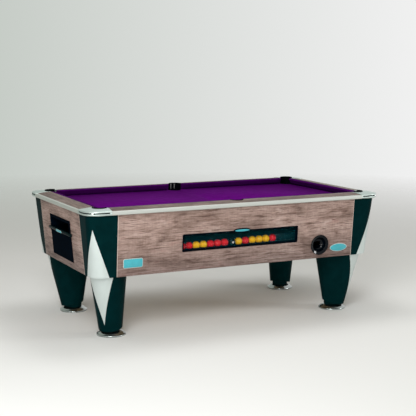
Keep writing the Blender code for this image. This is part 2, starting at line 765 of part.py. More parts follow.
def ball_trough():
    """Sloping trough behind the window, with the sizing hole and the ear that holds the gate."""
    half = BALL_R + TROUGH_CLEAR
    ends = (TROUGH_START, TROUGH_END)
    body = gutter("ball_trough", [(x, -TROUGH_Y) for x in ends], [trough_floor(x) for x in ends],
                  half, TROUGH_T, TROUGH_BACK, TROUGH_LIP, PAINT)
    outer = half + TROUGH_T
    stop = trough_floor(TROUGH_END)
    join(body, box("end_stop", (TROUGH_END - 0.006, -TROUGH_Y - outer + 0.001, stop - TROUGH_T * 0.5),
                   (TROUGH_END + 0.002, -TROUGH_Y + outer - 0.001, stop + TROUGH_BACK * 0.9), PAINT))
    for share in (0.17, 0.52, 0.92):
        x = TROUGH_START + share * (TROUGH_END - TROUGH_START)
        stay(body, x, -TROUGH_Y, trough_floor(x) - TROUGH_T * 0.5)
    wall = -TROUGH_Y + half
    eye = 0.018
    outline = [
        (wall, trough_floor(TROUGH_START)), (wall + TROUGH_T, trough_floor(TROUGH_START)),
        (wall + TROUGH_T, PIVOT_Z + eye), (-TROUGH_Y - eye, PIVOT_Z + eye),
        (-TROUGH_Y - eye, PIVOT_Z - eye),
        (wall, PIVOT_Z - eye),
    ]
    join(body, sheet_of("ear", outline, TROUGH_START, TROUGH_START + EAR_T, PAINT))
    pin = [(PIVOT_R + PIVOT_CLEAR, -0.01), (PIVOT_R + PIVOT_CLEAR, EAR_T + 0.01)]
    cut(body, turned("pin_hole", pin, (TROUGH_START, -TROUGH_Y, PIVOT_Z), (1, 0, 0), PAINT, 16))
    sizing = [(CUE_R + 0.001, -0.03), (CUE_R + 0.001, 0.03)]
    middle = (CUP_X, -TROUGH_Y, trough_floor(CUP_X))
    return cut(body, turned("sizing", sizing, middle, (0, 0, 1), PAINT, 24))


def release_gate():
    """Blade that holds the row of balls back, with a lever above its pivot."""
    half = BLADE_W / 2
    arm = LEVER_W / 2
    outline = [(-half, -BLADE_H), (half, -BLADE_H), (half, -0.020), (arm + 0.002, 0.004), (arm, LEVER_H),
               (-arm, LEVER_H), (-arm - 0.002, 0.004), (-half, -0.020)]
    points = [(y - TROUGH_Y, z + PIVOT_Z) for y, z in outline]
    body = sheet_of("release_gate", points, GATE_X - GATE_T / 2, GATE_X + GATE_T / 2, STEEL)
    pin = [(PIVOT_R, 0.0), (PIVOT_R, GATE_T / 2 + GATE_SPACE + EAR_T + 0.002)]
    join(body, turned("pin", pin, (GATE_X, -TROUGH_Y, PIVOT_Z), (1, 0, 0), STEEL, 16))
    set_origin(body, (GATE_X, -TROUGH_Y, PIVOT_Z))
    return body


def chute_path():
    end_x = -(BORDER_X + reach(HOPPER_LOW) - HOPPER_DEPTH + 2 * HOPPER_WALL)
    start = GATE_X - GATE_T / 2 - GATE_SPACE
    return [(start, -TROUGH_Y), (start - 0.06, -TROUGH_Y), (end_x + 0.07, -CHUTE_Y), (end_x, -CHUTE_Y)]


def chute_floors():
    return falling(chute_path(), trough_floor(TROUGH_START) - CHUTE_STEP, CHUTE_SLOPE)


def delivery_chute():
    path = chute_path()
    floors = chute_floors()
    body = gutter("delivery_chute", path, floors, BALL_R + CHUTE_CLEAR, RUN_T, RUN_H, RUN_H, PAINT)
    for share in (0.25, 0.75):
        at = Vector(path[1]).lerp(Vector(path[2]), share)
        floor = floors[1] + (floors[2] - floors[1]) * share
        stay(body, at.x, at.y, floor - RUN_T * 0.5)
    return body


def object_balls():
    """The row of touching balls, as one turned string along the trough."""
    way = Vector((math.cos(SLOPE), 0, math.sin(SLOPE)))
    first_x = GATE_X + GATE_T / 2 + GAP + BALL_R
    lift = BALL_R + GAP
    first = Vector((first_x, -TROUGH_Y, trough_floor(first_x)))
    first += lift * Vector((-math.sin(SLOPE), 0, math.cos(SLOPE)))
    profile = []
    edge = math.acos(BALL_SPAN / 2 / BALL_R)
    for i in range(BALL_COUNT):
        rings = 6
        for j in range(rings + 1):
            a = math.pi - edge - (math.pi - 2 * edge) * j / rings
            if j or not i:
                profile.append((BALL_R * math.sin(a), i * BALL_SPAN + BALL_R * math.cos(a)))
    body = turned("object_balls", profile, first, way, BALLS, 12)
    set_origin(body, first)
    return body


# Coin mechanism and cash box, on the back panel.

def rod_z():
    return PIVOT_Z + ROD_UP


def coin_slot(name, y0, y1):
    half = COIN_W / 2 + COIN_CLEAR
    high = COIN_H / 2 + COIN_CLEAR
    return box(name, (GATE_X - half, y0, rod_z() - high), (GATE_X + half, y1, rod_z() + high), STEEL)


def coin_plate():
    z = rod_z()
    body = slab("coin_plate", back, GATE_X - PLATE_W / 2, GATE_X + PLATE_W / 2, z - PLATE_H / 2,
                z + PLATE_H / 2, GAP, GAP + PLATE_T, CHROME)
    return cut(body, coin_slot("plate_hole", 0.3, 0.7))


def coin_slide():
    """Push slide with its long rod to the gate's lever."""
    z = rod_z()
    face = back(0, z, 0.0)[1]
    tip = -TROUGH_Y + LEVER_W / 2 + COIN_REST
    stations = [
        (face + COIN_OUT, COIN_W - 0.004, COIN_H - 0.004), (face + COIN_OUT - 0.002, COIN_W, COIN_H),
        (face - COIN_IN, COIN_W, COIN_H), (face - COIN_IN, ROD_W, ROD_W), (tip, ROD_W, ROD_W),
    ]
    rings = []
    for y, wide, high in stations:
        a, b = wide / 2, high / 2
        rings.append([(GATE_X - a, y, z - b), (GATE_X + a, y, z - b),
                      (GATE_X + a, y, z + b), (GATE_X - a, y, z + b)])
    body = loft("coin_slide", rings, CHROME)
    set_origin(body, (GATE_X, face, z))
    return body


def lock_seat():
    z = BOARD_TOP + LOCK_LIFT
    return Vector(back(GATE_X, z, 0.0))


def cash_box():
    """Open-topped drawer whose front fills its hole in the back panel."""
    low = BOARD_TOP + GAP
    half = CASH_W / 2
    rear = back(0, low, 0.0)[1] - CASH_L

    def shell(name, side, z0, z1, y0, out):
        rings = []
        for z in (z0, z1):
            y1 = back(0, z, out)[1]
            rings.append([(GATE_X - side, y0, z), (GATE_X + side, y0, z),
                          (GATE_X + side, y1, z), (GATE_X - side, y1, z)])
        return loft(name, rings, STEEL)

    body = shell("cash_box", half, low, low + CASH_H, rear, 0.0)
    cut(body, shell("cash_space", half - CASH_WALL, low + CASH_WALL, low + CASH_H + 0.05,
                    rear + CASH_WALL, -CASH_FRONT))
    hole = [(LOCK_R + PIVOT_CLEAR, -2 * CASH_FRONT), (LOCK_R + PIVOT_CLEAR, CASH_FRONT)]
    cut(body, turned("lock_hole", hole, lock_seat(), (0, 1, 0), STEEL, 20))
    set_origin(body, (GATE_X, rear, low))
    return body


def cash_lock():
    """Lock barrel with a small wing to turn it by."""
    at = lock_seat()
    body = turned("cash_lock", [(LOCK_R, -CASH_FRONT), (LOCK_R, 0.006)], at, (0, 1, 0), CHROME, 20)
    wing = LOCK_KEY / 2
    join(body, box("wing", (at.x - wing, at.y + 0.005, at.z - 0.003),
                   (at.x + wing, at.y + 0.012, at.z + 0.003), CHROME))
    set_origin(body, at)
    return body


def build():
    clear_scene()
    corners = [(f"{end}_{side}", sx, sy) for end, sx in (("head", -1), ("foot", 1))
               for side, sy in (("front", -1), ("back", 1))]
    for name, sx, sy in corners:
        levelling_foot(f"{name}_levelling_foot", sx, sy)
        leg(f"{name}_leg", sx, sy)
        corner_post(f"{name}_corner_post", sx, sy)
        corner_cap(f"{name}_corner_cap", sx, sy)
    inset = PANEL_T + GAP
    loft("base_board", [plan_ring(z, inset) for z in (CAB_BOTTOM, BOARD_TOP)], BOARD)
    front_panel()
    back_panel()
    head_panel()
    panel("foot_panel", foot, BORDER_Y)
    slate_bearer("head_slate_bearer", -BEARER_X)
    slate_bearer("foot_slate_bearer", BEARER_X)

    bed_sheet("slate_bed", SLATE_BOTTOM, SLATE_TOP, inset, STONE)
    bed_sheet("bed_cloth", SLATE_TOP + GAP, BED, inset, CLOTH)
    for name, centre, way, shift in pocket_list():
        pocket_liner(name, centre, way, shift)
    long_rail("front_cap_rail", front_rail, -1)
    long_rail("back_cap_rail", back_rail, 1)
    rail_length("head_cap_rail", head_rail, SIDE_Y, rail_profile(), WOOD)
    rail_length("foot_cap_rail", foot_rail, SIDE_Y, rail_profile(), WOOD)
    rails = (("front", front_rail, END_X), ("back", back_rail, END_X), ("head", head_rail, SIDE_Y),
             ("foot", foot_rail, SIDE_Y))
    for name, place, half in rails:
        rail_length(f"{name}_edge_trim", place, half, trim_profile(), SILVER)
    long_end = END_X - JAW_OPEN
    short_end = SIDE_Y - JAW_OPEN
    for side, place in (("front", front_rail), ("back", back_rail)):
        cushion(f"{side}_head_cushion", place, -long_end, -MIDDLE_OPEN, CLOTH)
        cushion(f"{side}_foot_cushion", place, MIDDLE_OPEN, long_end, CLOTH)
    cushion("head_cushion", head_rail, -short_end, short_end, CLOTH)
    cushion("foot_cushion", foot_rail, -short_end, short_end, CLOTH)

    window_frame()
    window_glass()
    cue_ball_cup()
    hopper()

    start_along, start_across = run_corner(-1, -1)
    front_path = [start_across, start_along, (FRONT_RUN_END, -(SIDE_Y - RUN_D))]
    ball_run("front_ball_run", front_path, front, -1, (-0.82, -0.24, 0.61))
    rear_path = list(reversed(run_corner(-1, 1))) + list(run_corner(1, 1))
    rear_path += list(reversed(run_corner(1, -1))) + [(REAR_RUN_END, -(SIDE_Y - RUN_D))]
    ball_run("rear_ball_run", rear_path, back, 1, (-0.82, 0.24, 0.87))
    ball_trough()
    release_gate()
    delivery_chute()
    object_balls()

    coin_plate()
    coin_slide()
    cash_box()
    cash_lock()
    for obj in bpy.context.scene.collection.objects:
        obj.data.shade_smooth()
        obj.data.set_sharp_from_angle(angle=math.radians(32))


build()
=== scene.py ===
# %% [markdown]
# # Dressing a coin-operated pool table
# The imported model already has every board, run and lever at its real size. This lesson gives it
# the surfaces that a visitor sees: wood-grain laminate, dark lacquered corners, silver metal and
# purple cloth. The model is a fixed frame, so each new piece is made where its solid stands, and
# is told which body it rides on.

import math

import bmesh
import bpy
from mathutils import Matrix, Vector
from mathutils.geometry import delaunay_2d_cdt


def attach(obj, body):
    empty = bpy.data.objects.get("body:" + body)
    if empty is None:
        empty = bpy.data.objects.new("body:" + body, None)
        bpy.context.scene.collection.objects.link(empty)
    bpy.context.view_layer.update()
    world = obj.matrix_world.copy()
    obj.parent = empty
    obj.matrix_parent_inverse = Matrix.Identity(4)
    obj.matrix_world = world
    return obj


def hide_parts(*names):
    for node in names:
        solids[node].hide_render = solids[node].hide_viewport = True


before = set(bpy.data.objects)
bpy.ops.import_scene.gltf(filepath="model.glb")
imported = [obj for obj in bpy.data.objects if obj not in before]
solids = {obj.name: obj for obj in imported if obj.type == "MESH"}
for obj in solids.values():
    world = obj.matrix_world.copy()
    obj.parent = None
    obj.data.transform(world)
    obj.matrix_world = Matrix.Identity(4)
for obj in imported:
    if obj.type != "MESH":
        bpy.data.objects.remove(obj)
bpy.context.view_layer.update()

# %% [markdown]
# ## Sizes taken over from the solids
# A piece that stands for a solid has to follow the same lines, so the few sizes that shape the
# outside are written here once, in metres. The cabinet's sides lean in towards the floor. A point
# on a side is found from how far along it lies, how high, and how far out from the face, so
# everything on a side follows its lean.

# %% Outside sizes
END_X, SIDE_Y = 1.055, 0.590            # outer faces of the metal edge
BORDER_X, BORDER_Y = 0.850, 0.385       # where the panels end and the posts begin
CABINET_LOW, BED = 0.400, 0.7785        # underside of the cabinet, top of the cloth
POST_W, POST_R = 0.183, 0.080           # width of a post at the bed, radius of its corner
LEAN = 0.0335                           # how far a side leans in over the cabinet's height
PANEL_T, GAP = 0.022, 0.0003            # panel thickness, room between two pieces
CABINET_TOP = BED + 0.0085              # top of the panels and posts
SEAT, RIM_SEAT = BED + GAP, CABINET_TOP + GAP   # what cushions stand on, and rails with their metal
RAIL_BACK, CUSHION_W = 0.1055, 0.0320   # rail depth behind the cushion, and the cushion's own depth
RAIL_TOP, NOSE_Z = BED + 0.0440, BED + 0.0345   # top of the rails, the solids' cushion noses
TRIM_T, TRIM_H = 0.016, 0.0255          # depth and height of the metal edge
CORNERS = [(end + "_" + side, sx, sy) for end, sx in (("head", -1), ("foot", 1))
           for side, sy in (("front", -1), ("back", 1))]
UP = (0, 0, 1)


def reach(z):
    """How far the cabinet's faces stand out from the posts' edges at a height."""
    return POST_W - LEAN * (BED - z) / (BED - CABINET_LOW)


def front(along, z, out):
    return Vector((along, -(BORDER_Y + reach(z) + out), z))


def back(along, z, out):
    return Vector((along, BORDER_Y + reach(z) + out, z))


def head_end(along, z, out):
    return Vector((-(BORDER_X + reach(z) + out), along, z))


def foot_end(along, z, out):
    return Vector((BORDER_X + reach(z) + out, along, z))


print("cabinet leans in by", round(1000 * LEAN, 1), "mm over its height")

# %% [markdown]
# ## A few small tools
# Most of the table is long sections and turned rounds. One tool skins a row of equal rings, one
# rounds a corner of a section, one turns a profile about an axis, and one puts the finished shell
# on its body. Skinning rings in code gives even, smooth faces, which metal needs: a Boolean would
# leave long thin triangles that show up in the reflections.

# %% Skins and rounds
def skin(rings, loop=False):
    """Points and faces of a skin over equal rings, capped unless it comes back round."""
    count = len(rings[0])
    points = [Vector(p) for ring in rings for p in ring]
    faces = []
    for i in range(len(rings) if loop else len(rings) - 1):
        a, b = i * count, (i + 1) % len(rings) * count
        for j in range(count):
            k = (j + 1) % count
            faces.append((a + j, a + k, b + k, b + j))
    if not loop:
        faces.append(tuple(range(count)))
        faces.append(tuple(range((len(rings) - 1) * count, len(rings) * count)))
    return points, faces


def arc(middle, radii, first, last, steps):
    """Rounded corner of a section: points of an ellipse between two angles in degrees."""
    angles = [math.radians(first + (last - first) * i / steps) for i in range(steps + 1)]
    return [(middle[0] + radii[0] * math.cos(a), middle[1] + radii[1] * math.sin(a)) for a in angles]


def circle(centre, radius, axis, steps):
    """A ring of points square to an axis."""
    turn = Vector(UP).rotation_difference(Vector(axis).normalized())
    angles = [2 * math.pi * i / steps for i in range(steps)]
    return [Vector(centre) + turn @ Vector((radius * math.cos(a), radius * math.sin(a), 0)) for a in angles]


def turned(profile, base, axis, steps=64):
    """Skin of (radius, height) points turned about an axis."""
    way = Vector(axis).normalized()
    return skin([circle(Vector(base) + way * h, r, way, steps) for r, h in profile])


print("shape tools ready")


# %% Pieces on their bodies
def piece(name, shells, material, body="table", stands_for=(), sharp=35):
    """One visible piece from one or more shells, on its body and with its finish."""
    points, faces = [], []
    for shell_points, shell_faces in shells:
        start = len(points)
        points += [tuple(p) for p in shell_points]
        faces += [tuple(start + i for i in face) for face in shell_faces]
    mesh = bpy.data.meshes.new(name)
    mesh.from_pydata(points, [], faces)
    shell = bmesh.new()
    shell.from_mesh(mesh)
    bmesh.ops.recalc_face_normals(shell, faces=shell.faces)
    shell.to_mesh(mesh)
    shell.free()
    mesh.materials.append(material)
    mesh.shade_smooth()
    mesh.set_sharp_from_angle(angle=math.radians(sharp))
    made = bpy.data.objects.new(name, mesh)
    bpy.context.scene.collection.objects.link(made)
    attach(made, body)
    if stands_for:
        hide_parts(*stands_for)
    return made


def soften(obj, width, segments=2, angle=40):
    """Rounds a piece's hard edges a little, because no real edge is perfectly sharp."""
    rounding = obj.modifiers.new("edge_rounding", "BEVEL")
    rounding.width = width
    rounding.segments = segments
    rounding.limit_method = "ANGLE"
    rounding.angle_limit = math.radians(angle)
    rounding.harden_normals = True


print("piece tools ready")

# %% [markdown]
# ## Finishes
# Each finish starts from one shader. A number that is the same all over is set on its socket, and
# only what varies, such as grain, mottling and fine bumps, comes from textures. The textures read
# object coordinates in metres, so grain and weave have their real scale on every piece.

# %% A finish and its textures
def finish(name, colour, roughness, metallic=0.0, **more):
    """A new material and its node tree, with the plain values set."""
    material = bpy.data.materials.new(name)
    material.use_nodes = True
    tree = material.node_tree
    surface = tree.nodes["Principled BSDF"]
    surface.inputs["Base Color"].default_value = (*colour, 1.0)
    surface.inputs["Roughness"].default_value = roughness
    surface.inputs["Metallic"].default_value = metallic
    for socket, value in more.items():
        surface.inputs[socket.replace("_", " ")].default_value = value
    return material, tree, surface


def place_in(tree, scale=(1.0, 1.0, 1.0)):
    """Object coordinates stretched by a scale along each axis."""
    coordinates = tree.nodes.new("ShaderNodeTexCoord")
    mapping = tree.nodes.new("ShaderNodeMapping")
    mapping.inputs["Scale"].default_value = scale
    tree.links.new(coordinates.outputs["Object"], mapping.inputs["Vector"])
    return mapping.outputs["Vector"]


def noise(tree, scale, detail=4.0, roughness=0.55, distortion=0.0):
    texture = tree.nodes.new("ShaderNodeTexNoise")
    texture.inputs["Scale"].default_value = 1.0
    texture.inputs["Detail"].default_value = detail
    texture.inputs["Roughness"].default_value = roughness
    texture.inputs["Distortion"].default_value = distortion
    tree.links.new(place_in(tree, scale), texture.inputs["Vector"])
    return texture.outputs["Fac"]


print("texture helpers ready")


# %% Colours, ranges and bumps
def ramp(tree, value, stops):
    """Colours along a value, from (position, colour) stops."""
    node = tree.nodes.new("ShaderNodeValToRGB")
    bar = node.color_ramp
    while len(bar.elements) < len(stops):
        bar.elements.new(0.5)
    for element, (position, colour) in zip(bar.elements, stops):
        element.position = position
        element.color = (*colour, 1.0)
    tree.links.new(value, node.inputs["Fac"])
    return node.outputs["Color"]


def multiply(tree, share, colour, by):
    """A colour multiplied by another one, up to a share."""
    node = tree.nodes.new("ShaderNodeMix")
    node.data_type = "RGBA"
    node.blend_type = "MULTIPLY"
    node.inputs["Factor"].default_value = share
    tree.links.new(colour, node.inputs["A"])
    tree.links.new(by, node.inputs["B"])
    return node.outputs["Result"]


def grey_range(tree, value, low, high, start=0.0, end=1.0):
    """A number carried from one range, 0 to 1 unless it is given, to another."""
    node = tree.nodes.new("ShaderNodeMapRange")
    for name, number in (("From Min", start), ("From Max", end), ("To Min", low), ("To Max", high)):
        node.inputs[name].default_value = number
    tree.links.new(value, node.inputs["Value"])
    return node.outputs["Result"]


def raise_surface(tree, surface, height, distance, strength=1.0):
    bump = tree.nodes.new("ShaderNodeBump")
    bump.inputs["Distance"].default_value = distance
    bump.inputs["Strength"].default_value = strength
    tree.links.new(height, bump.inputs["Height"])
    tree.links.new(bump.outputs["Normal"], surface.inputs["Normal"])


print("colour helpers ready")

# %% [markdown]
# ## Wood-grain laminate
# The panels and the tops of the rails wear a printed laminate: grey-brown weathered oak with fine
# dark streaks, saw marks and small knots. On the panels it grows darker towards the bottom. The
# rails' copies are darker all over, which is painted shade on the rails. A photo of wood would be
# quicker, but streaks made from stretched noise never repeat, and one recipe serves every panel
# when the stretch follows the long way of that panel. Each layer darkens the browns by a share.

# %% Tones of the print
WHITE = (1.0, 1.0, 1.0)
BROWNS = [(0.30, (0.205, 0.142, 0.123)), (0.44, (0.335, 0.245, 0.215)),
          (0.56, (0.420, 0.312, 0.278)), (0.70, (0.505, 0.398, 0.362))]
BLOTCHES = [(0.30, (0.50, 0.43, 0.41)), (0.43, (0.86, 0.83, 0.81)),
            (0.56, (1.0, 0.99, 0.98)), (0.70, (1.0, 0.87, 0.86))]
STREAKS = [(0.34, (0.26, 0.21, 0.19)), (0.46, (0.74, 0.70, 0.68)), (0.55, WHITE)]
PORES = [(0.32, (0.55, 0.50, 0.47)), (0.50, WHITE)]
SAW_MARKS = [(0.40, (0.86, 0.85, 0.84)), (0.56, WHITE)]
KNOTS = [(0.0, (0.26, 0.20, 0.18)), (0.06, (0.50, 0.43, 0.40)), (0.14, (0.92, 0.90, 0.89)), (0.22, WHITE)]
# Multipliers that darken the panels towards the bottom, fading out with height
LOW_DARKENING = [(0.0, (0.57, 0.57, 0.59)), (1.0, WHITE)]
DARKENING_FADE = (0.40, 0.60)               # heights between which the darkening towards the bottom fades out
print("layers over the browns: blotches, streaks, pores, saw marks, knots and darkening low down")


# %% Laminate along either axis
def laminate(name, along, tone=1.0):
    """Weathered oak print whose grain runs along X or along Y; a tone below 1 darkens it."""
    material, tree, surface = finish(name, (0.34, 0.24, 0.20), 0.45, Specular_IOR_Level=0.12)

    def stretched(slow, fast):
        return (slow, fast, fast) if along == "x" else (fast, slow, fast)

    broad = noise(tree, stretched(2.4, 7.0), 5.0, 0.62, 1.2)
    blotch = noise(tree, stretched(10.0, 46.0), 5.0, 0.62, 0.8)
    streak = noise(tree, stretched(7.0, 120.0), 6.0, 0.70, 0.8)
    fine = noise(tree, stretched(30.0, 480.0), 3.0, 0.6)
    saw = noise(tree, stretched(120.0, 9.0), 2.0, 0.5)
    knots = tree.nodes.new("ShaderNodeTexVoronoi")
    knots.inputs["Scale"].default_value = 1.0
    knots.inputs["Randomness"].default_value = 1.0
    tree.links.new(place_in(tree, stretched(3.6, 9.5)), knots.inputs["Vector"])
    parts = tree.nodes.new("ShaderNodeSeparateXYZ")
    tree.links.new(place_in(tree), parts.inputs["Vector"])
    # The browns grow darker towards the bottom, by height
    height = grey_range(tree, parts.outputs["Z"], 0.0, 1.0, *DARKENING_FADE)
    grain = ramp(tree, broad, [(place, tuple(tone * c for c in colour)) for place, colour in BROWNS])
    for share, value, stops in ((0.90, blotch, BLOTCHES), (0.96, streak, STREAKS), (0.60, fine, PORES),
                                (0.60, saw, SAW_MARKS), (0.85, knots.outputs["Distance"], KNOTS),
                                (1.0, height, LOW_DARKENING)):
        grain = multiply(tree, share, grain, ramp(tree, value, stops))
    tree.links.new(grain, surface.inputs["Base Color"])
    tree.links.new(grey_range(tree, streak, 0.50, 0.36), surface.inputs["Roughness"])
    raise_surface(tree, surface, streak, 0.0006, 0.25)
    return material


wood_long = laminate("laminate_lengthwise", "x")
wood_cross = laminate("laminate_crosswise", "y")
# The rails get darker copies of the same print: painted shade on the rails
rail_wood_long_painted_shade = laminate("rail_laminate_painted_shade_lengthwise", "x", 0.56)
rail_wood_cross_painted_shade = laminate("rail_laminate_painted_shade_crosswise", "y", 0.60)
print("laminates:", wood_long.name, wood_cross.name)

# %% [markdown]
# ## Lacquer, plastics and metals
# Lacquered corners and moulded plastic look dead without a little unevenness, so each gets a faint
# mottle in its gloss and a very shallow bump. They stand in pale surroundings, so the dark ones
# reflect little, or they would turn grey. Metals take their look from what they reflect. The trim
# and caps are drawn and cast aluminium, softer than the chrome of the feet, so their roughness is
# higher and carries fine streaks.

# %% Lacquer and plastics
def mottled(name, colour, roughness, spread, scale, bump, metallic=0.0, shade=0.12, **more):
    """A plain finish whose gloss and tone wander a little, with a fine texture in its surface."""
    material, tree, surface = finish(name, colour, roughness, metallic, **more)
    cloud = noise(tree, (scale, scale, scale), 3.0)
    gloss = grey_range(tree, cloud, roughness - spread, roughness + spread)
    tree.links.new(gloss, surface.inputs["Roughness"])
    low = tuple(c * (1 - shade) for c in colour)
    high = tuple(min(c * (1 + shade), 1.0) for c in colour)
    tree.links.new(ramp(tree, cloud, [(0.35, low), (0.65, high)]), surface.inputs["Base Color"])
    if bump:
        grainy = noise(tree, (scale * 14, scale * 14, scale * 14), 2.0)
        raise_surface(tree, surface, grainy, bump, 0.35)
    return material


lacquer = mottled("dark_green_lacquer", (0.0006, 0.0135, 0.0148), 0.30, 0.05, 18.0, 0.0002,
                  Specular_IOR_Level=0.007)
black_moulding = mottled("black_moulding", (0.0006, 0.0026, 0.0058), 0.36, 0.06, 30.0, 0.0002,
                         Specular_IOR_Level=0.0006)
satin_black = mottled("satin_black", (0.0020, 0.0090, 0.0100), 0.30, 0.04, 30.0, 0.0001,
                      Specular_IOR_Level=0.02)
black_gloss = mottled("black_gloss", (0.0006, 0.0020, 0.0040), 0.06, 0.02, 12.0, 0.0,
                      Specular_IOR_Level=0.15)
pocket_black = mottled("pocket_black", (0.0016, 0.0024, 0.0034), 0.44, 0.07, 40.0, 0.0004,
                       Specular_IOR_Level=0.01)
inlay_silver = mottled("inlay_silver", (0.500, 0.560, 0.545), 0.42, 0.05, 9.0, 0.0001,
                       metallic=0.25, shade=0.03)
teal_enamel = mottled("teal_enamel", (0.045, 0.345, 0.405), 0.22, 0.04, 25.0, 0.0, shade=0.06)
print("lacquer and plastics:", lacquer.name, black_moulding.name, pocket_black.name)


# %% Metals
def drawn_metal(name, colour, roughness, stretch, depth, shade=0.03):
    """Metal with fine lines along the way it was drawn, turned or ground."""
    material, tree, surface = finish(name, colour, roughness, 1.0)
    lines = noise(tree, stretch, 3.0, 0.6)
    gloss = grey_range(tree, lines, roughness * 0.9, roughness * 1.1)
    tree.links.new(gloss, surface.inputs["Roughness"])
    low = tuple(c * (1 - shade) for c in colour)
    tree.links.new(ramp(tree, lines, [(0.3, low), (0.7, colour)]), surface.inputs["Base Color"])
    raise_surface(tree, surface, lines, depth, 0.2)
    return material


TRIM_TONE = (0.53, 0.55, 0.515)
trim_long = drawn_metal("trim_metal_lengthwise", TRIM_TONE, 0.60, (3.0, 500.0, 500.0), 0.000004)
trim_cross = drawn_metal("trim_metal_crosswise", TRIM_TONE, 0.60, (500.0, 3.0, 500.0), 0.000004)
cast_silver = drawn_metal("cast_silver", (0.505, 0.580, 0.553), 0.50, (90.0, 90.0, 90.0), 0.0001)
chrome = drawn_metal("polished_chrome", (0.36, 0.39, 0.38), 0.22, (40.0, 40.0, 300.0), 0.00002)
sheet_steel = drawn_metal("sheet_steel", (0.52, 0.53, 0.54), 0.34, (400.0, 400.0, 12.0), 0.00008)
bright_metal = drawn_metal("bright_metal", (0.90, 0.91, 0.91), 0.14, (60.0, 60.0, 60.0), 0.00002)
print("metals:", trim_long.name, cast_silver.name, chrome.name)

# %% [markdown]
# ## Cloth
# The bed and the cushions wear a napped wool cloth. It is matt, a little lighter where the nap
# catches low light, and it has a fine weave under the nap. A sheen value on the shader gives the
# nap's glow at low angles, a noise gives the brushed mottling, and a fine wave gives the weave.

# %% Purple cloth
def napped_cloth(name, colour):
    """Wool cloth with a brushed nap over a fine weave."""
    material, tree, surface = finish(name, colour, 0.95, Specular_IOR_Level=0.01, Sheen_Weight=0.01,
                                     Sheen_Roughness=0.45, Sheen_Tint=(0.55, 0.22, 0.75, 1.0))
    nap = noise(tree, (22.0, 30.0, 22.0), 5.0, 0.65)
    low = tuple(c * 0.84 for c in colour)
    high = tuple(c * 1.14 for c in colour)
    tree.links.new(ramp(tree, nap, [(0.34, low), (0.66, high)]), surface.inputs["Base Color"])
    threads = tree.nodes.new("ShaderNodeTexWave")
    threads.inputs["Scale"].default_value = 620.0
    threads.inputs["Distortion"].default_value = 1.5
    threads.bands_direction = "DIAGONAL"
    tree.links.new(place_in(tree), threads.inputs["Vector"])
    raise_surface(tree, surface, threads.outputs["Fac"], 0.0002, 0.35)
    return material


cloth = napped_cloth("purple_cloth", (0.100, 0.0034, 0.155))
# The cushions get a darker copy of the same cloth: painted shade on their faces
cushion_cloth_painted_shade = napped_cloth("cushion_cloth_painted_shade", (0.052, 0.0018, 0.084))
print("cloth:", cloth.name, cushion_cloth_painted_shade.name)

# %% [markdown]
# ## Boards, slate and glass
# Inside the cabinet are plain boards, dark green runs and the slate, seen only through the pockets,
# the hopper and the window. The window is a dark tinted pane. A see-through shader that lets light
# pass shows the balls behind it, which a refracting one would leave in the dark.

# %% Inside finishes
bare_board = mottled("bare_board", (0.36, 0.25, 0.15), 0.62, 0.06, 24.0, 0.0004, shade=0.2)
dark_green_run = mottled("dark_green_run", (0.002, 0.030, 0.036), 0.40, 0.06, 30.0, 0.0003)
slate = mottled("slate", (0.135, 0.145, 0.155), 0.70, 0.08, 14.0, 0.0005, shade=0.18)
pane, pane_tree, pane_surface = finish("tinted_pane", (0.001, 0.10, 0.13), 0.04, Alpha=0.05,
                                       Specular_IOR_Level=0.08)
smear = noise(pane_tree, (9.0, 9.0, 9.0), 3.0)
pane_tree.links.new(grey_range(pane_tree, smear, 0.02, 0.08), pane_surface.inputs["Roughness"])
print("inside finishes:", bare_board.name, dark_green_run.name, slate.name, pane.name)

# %% [markdown]
# ## Corner posts
# Each corner is a curved, lacquered shell that stands flush between two panels. Its plan is two
# flats joined by a round corner, and it leans in with the panels. One function finds a point on it
# from a distance round the corner and a height, and the inlay below uses the same function, so it
# lies on the shell exactly.

# %% Posts
HALF_CORNER = POST_R * math.pi / 4      # from the middle of the round corner to its end


def on_post(sx, sy, round_it, z, out=0.0):
    """A point on a post, from the distance round it, counted from the middle of its corner."""
    middle = reach(z) - POST_R
    angle = math.pi / 4 + max(-HALF_CORNER, min(HALF_CORNER, round_it)) / POST_R
    x = BORDER_X + middle + (POST_R + out) * math.cos(angle)
    y = BORDER_Y + middle + (POST_R + out) * math.sin(angle)
    past = max(abs(round_it) - HALF_CORNER, 0.0)
    if round_it > 0:
        x -= past
    else:
        y -= past
    return Vector((sx * x, sy * y, z))


def post_rings(sx, sy):
    rings = []
    for z in (CABINET_LOW, CABINET_TOP):
        edge = HALF_CORNER + reach(z) - POST_R - GAP
        stops = [-edge] + [HALF_CORNER * (2 * i / 40 - 1) for i in range(41)] + [edge]
        outer = [on_post(sx, sy, d, z) for d in stops]
        inner = [on_post(sx, sy, d, z, -PANEL_T) for d in reversed(stops)]
        rings.append(outer + inner)
    return rings


for name, sx, sy in CORNERS:
    post = piece(name + "_post_shell", [skin(post_rings(sx, sy))], lacquer, "table",
                 [name + "_corner_post"])
    soften(post, 0.0009)
print("posts:", len(CORNERS))

# %% [markdown]
# ## Legs and feet
# A leg tapers from an oval under the cabinet to a slanted round end, with a short neck over a round
# metal foot. The oval lies along the corner's diagonal. The leg is skinned from rings between two
# ends, so its sides are straight as on the real moulding, and its lower edge is rounded. The domed
# foot is turned, and rides on its own body: it screws down.

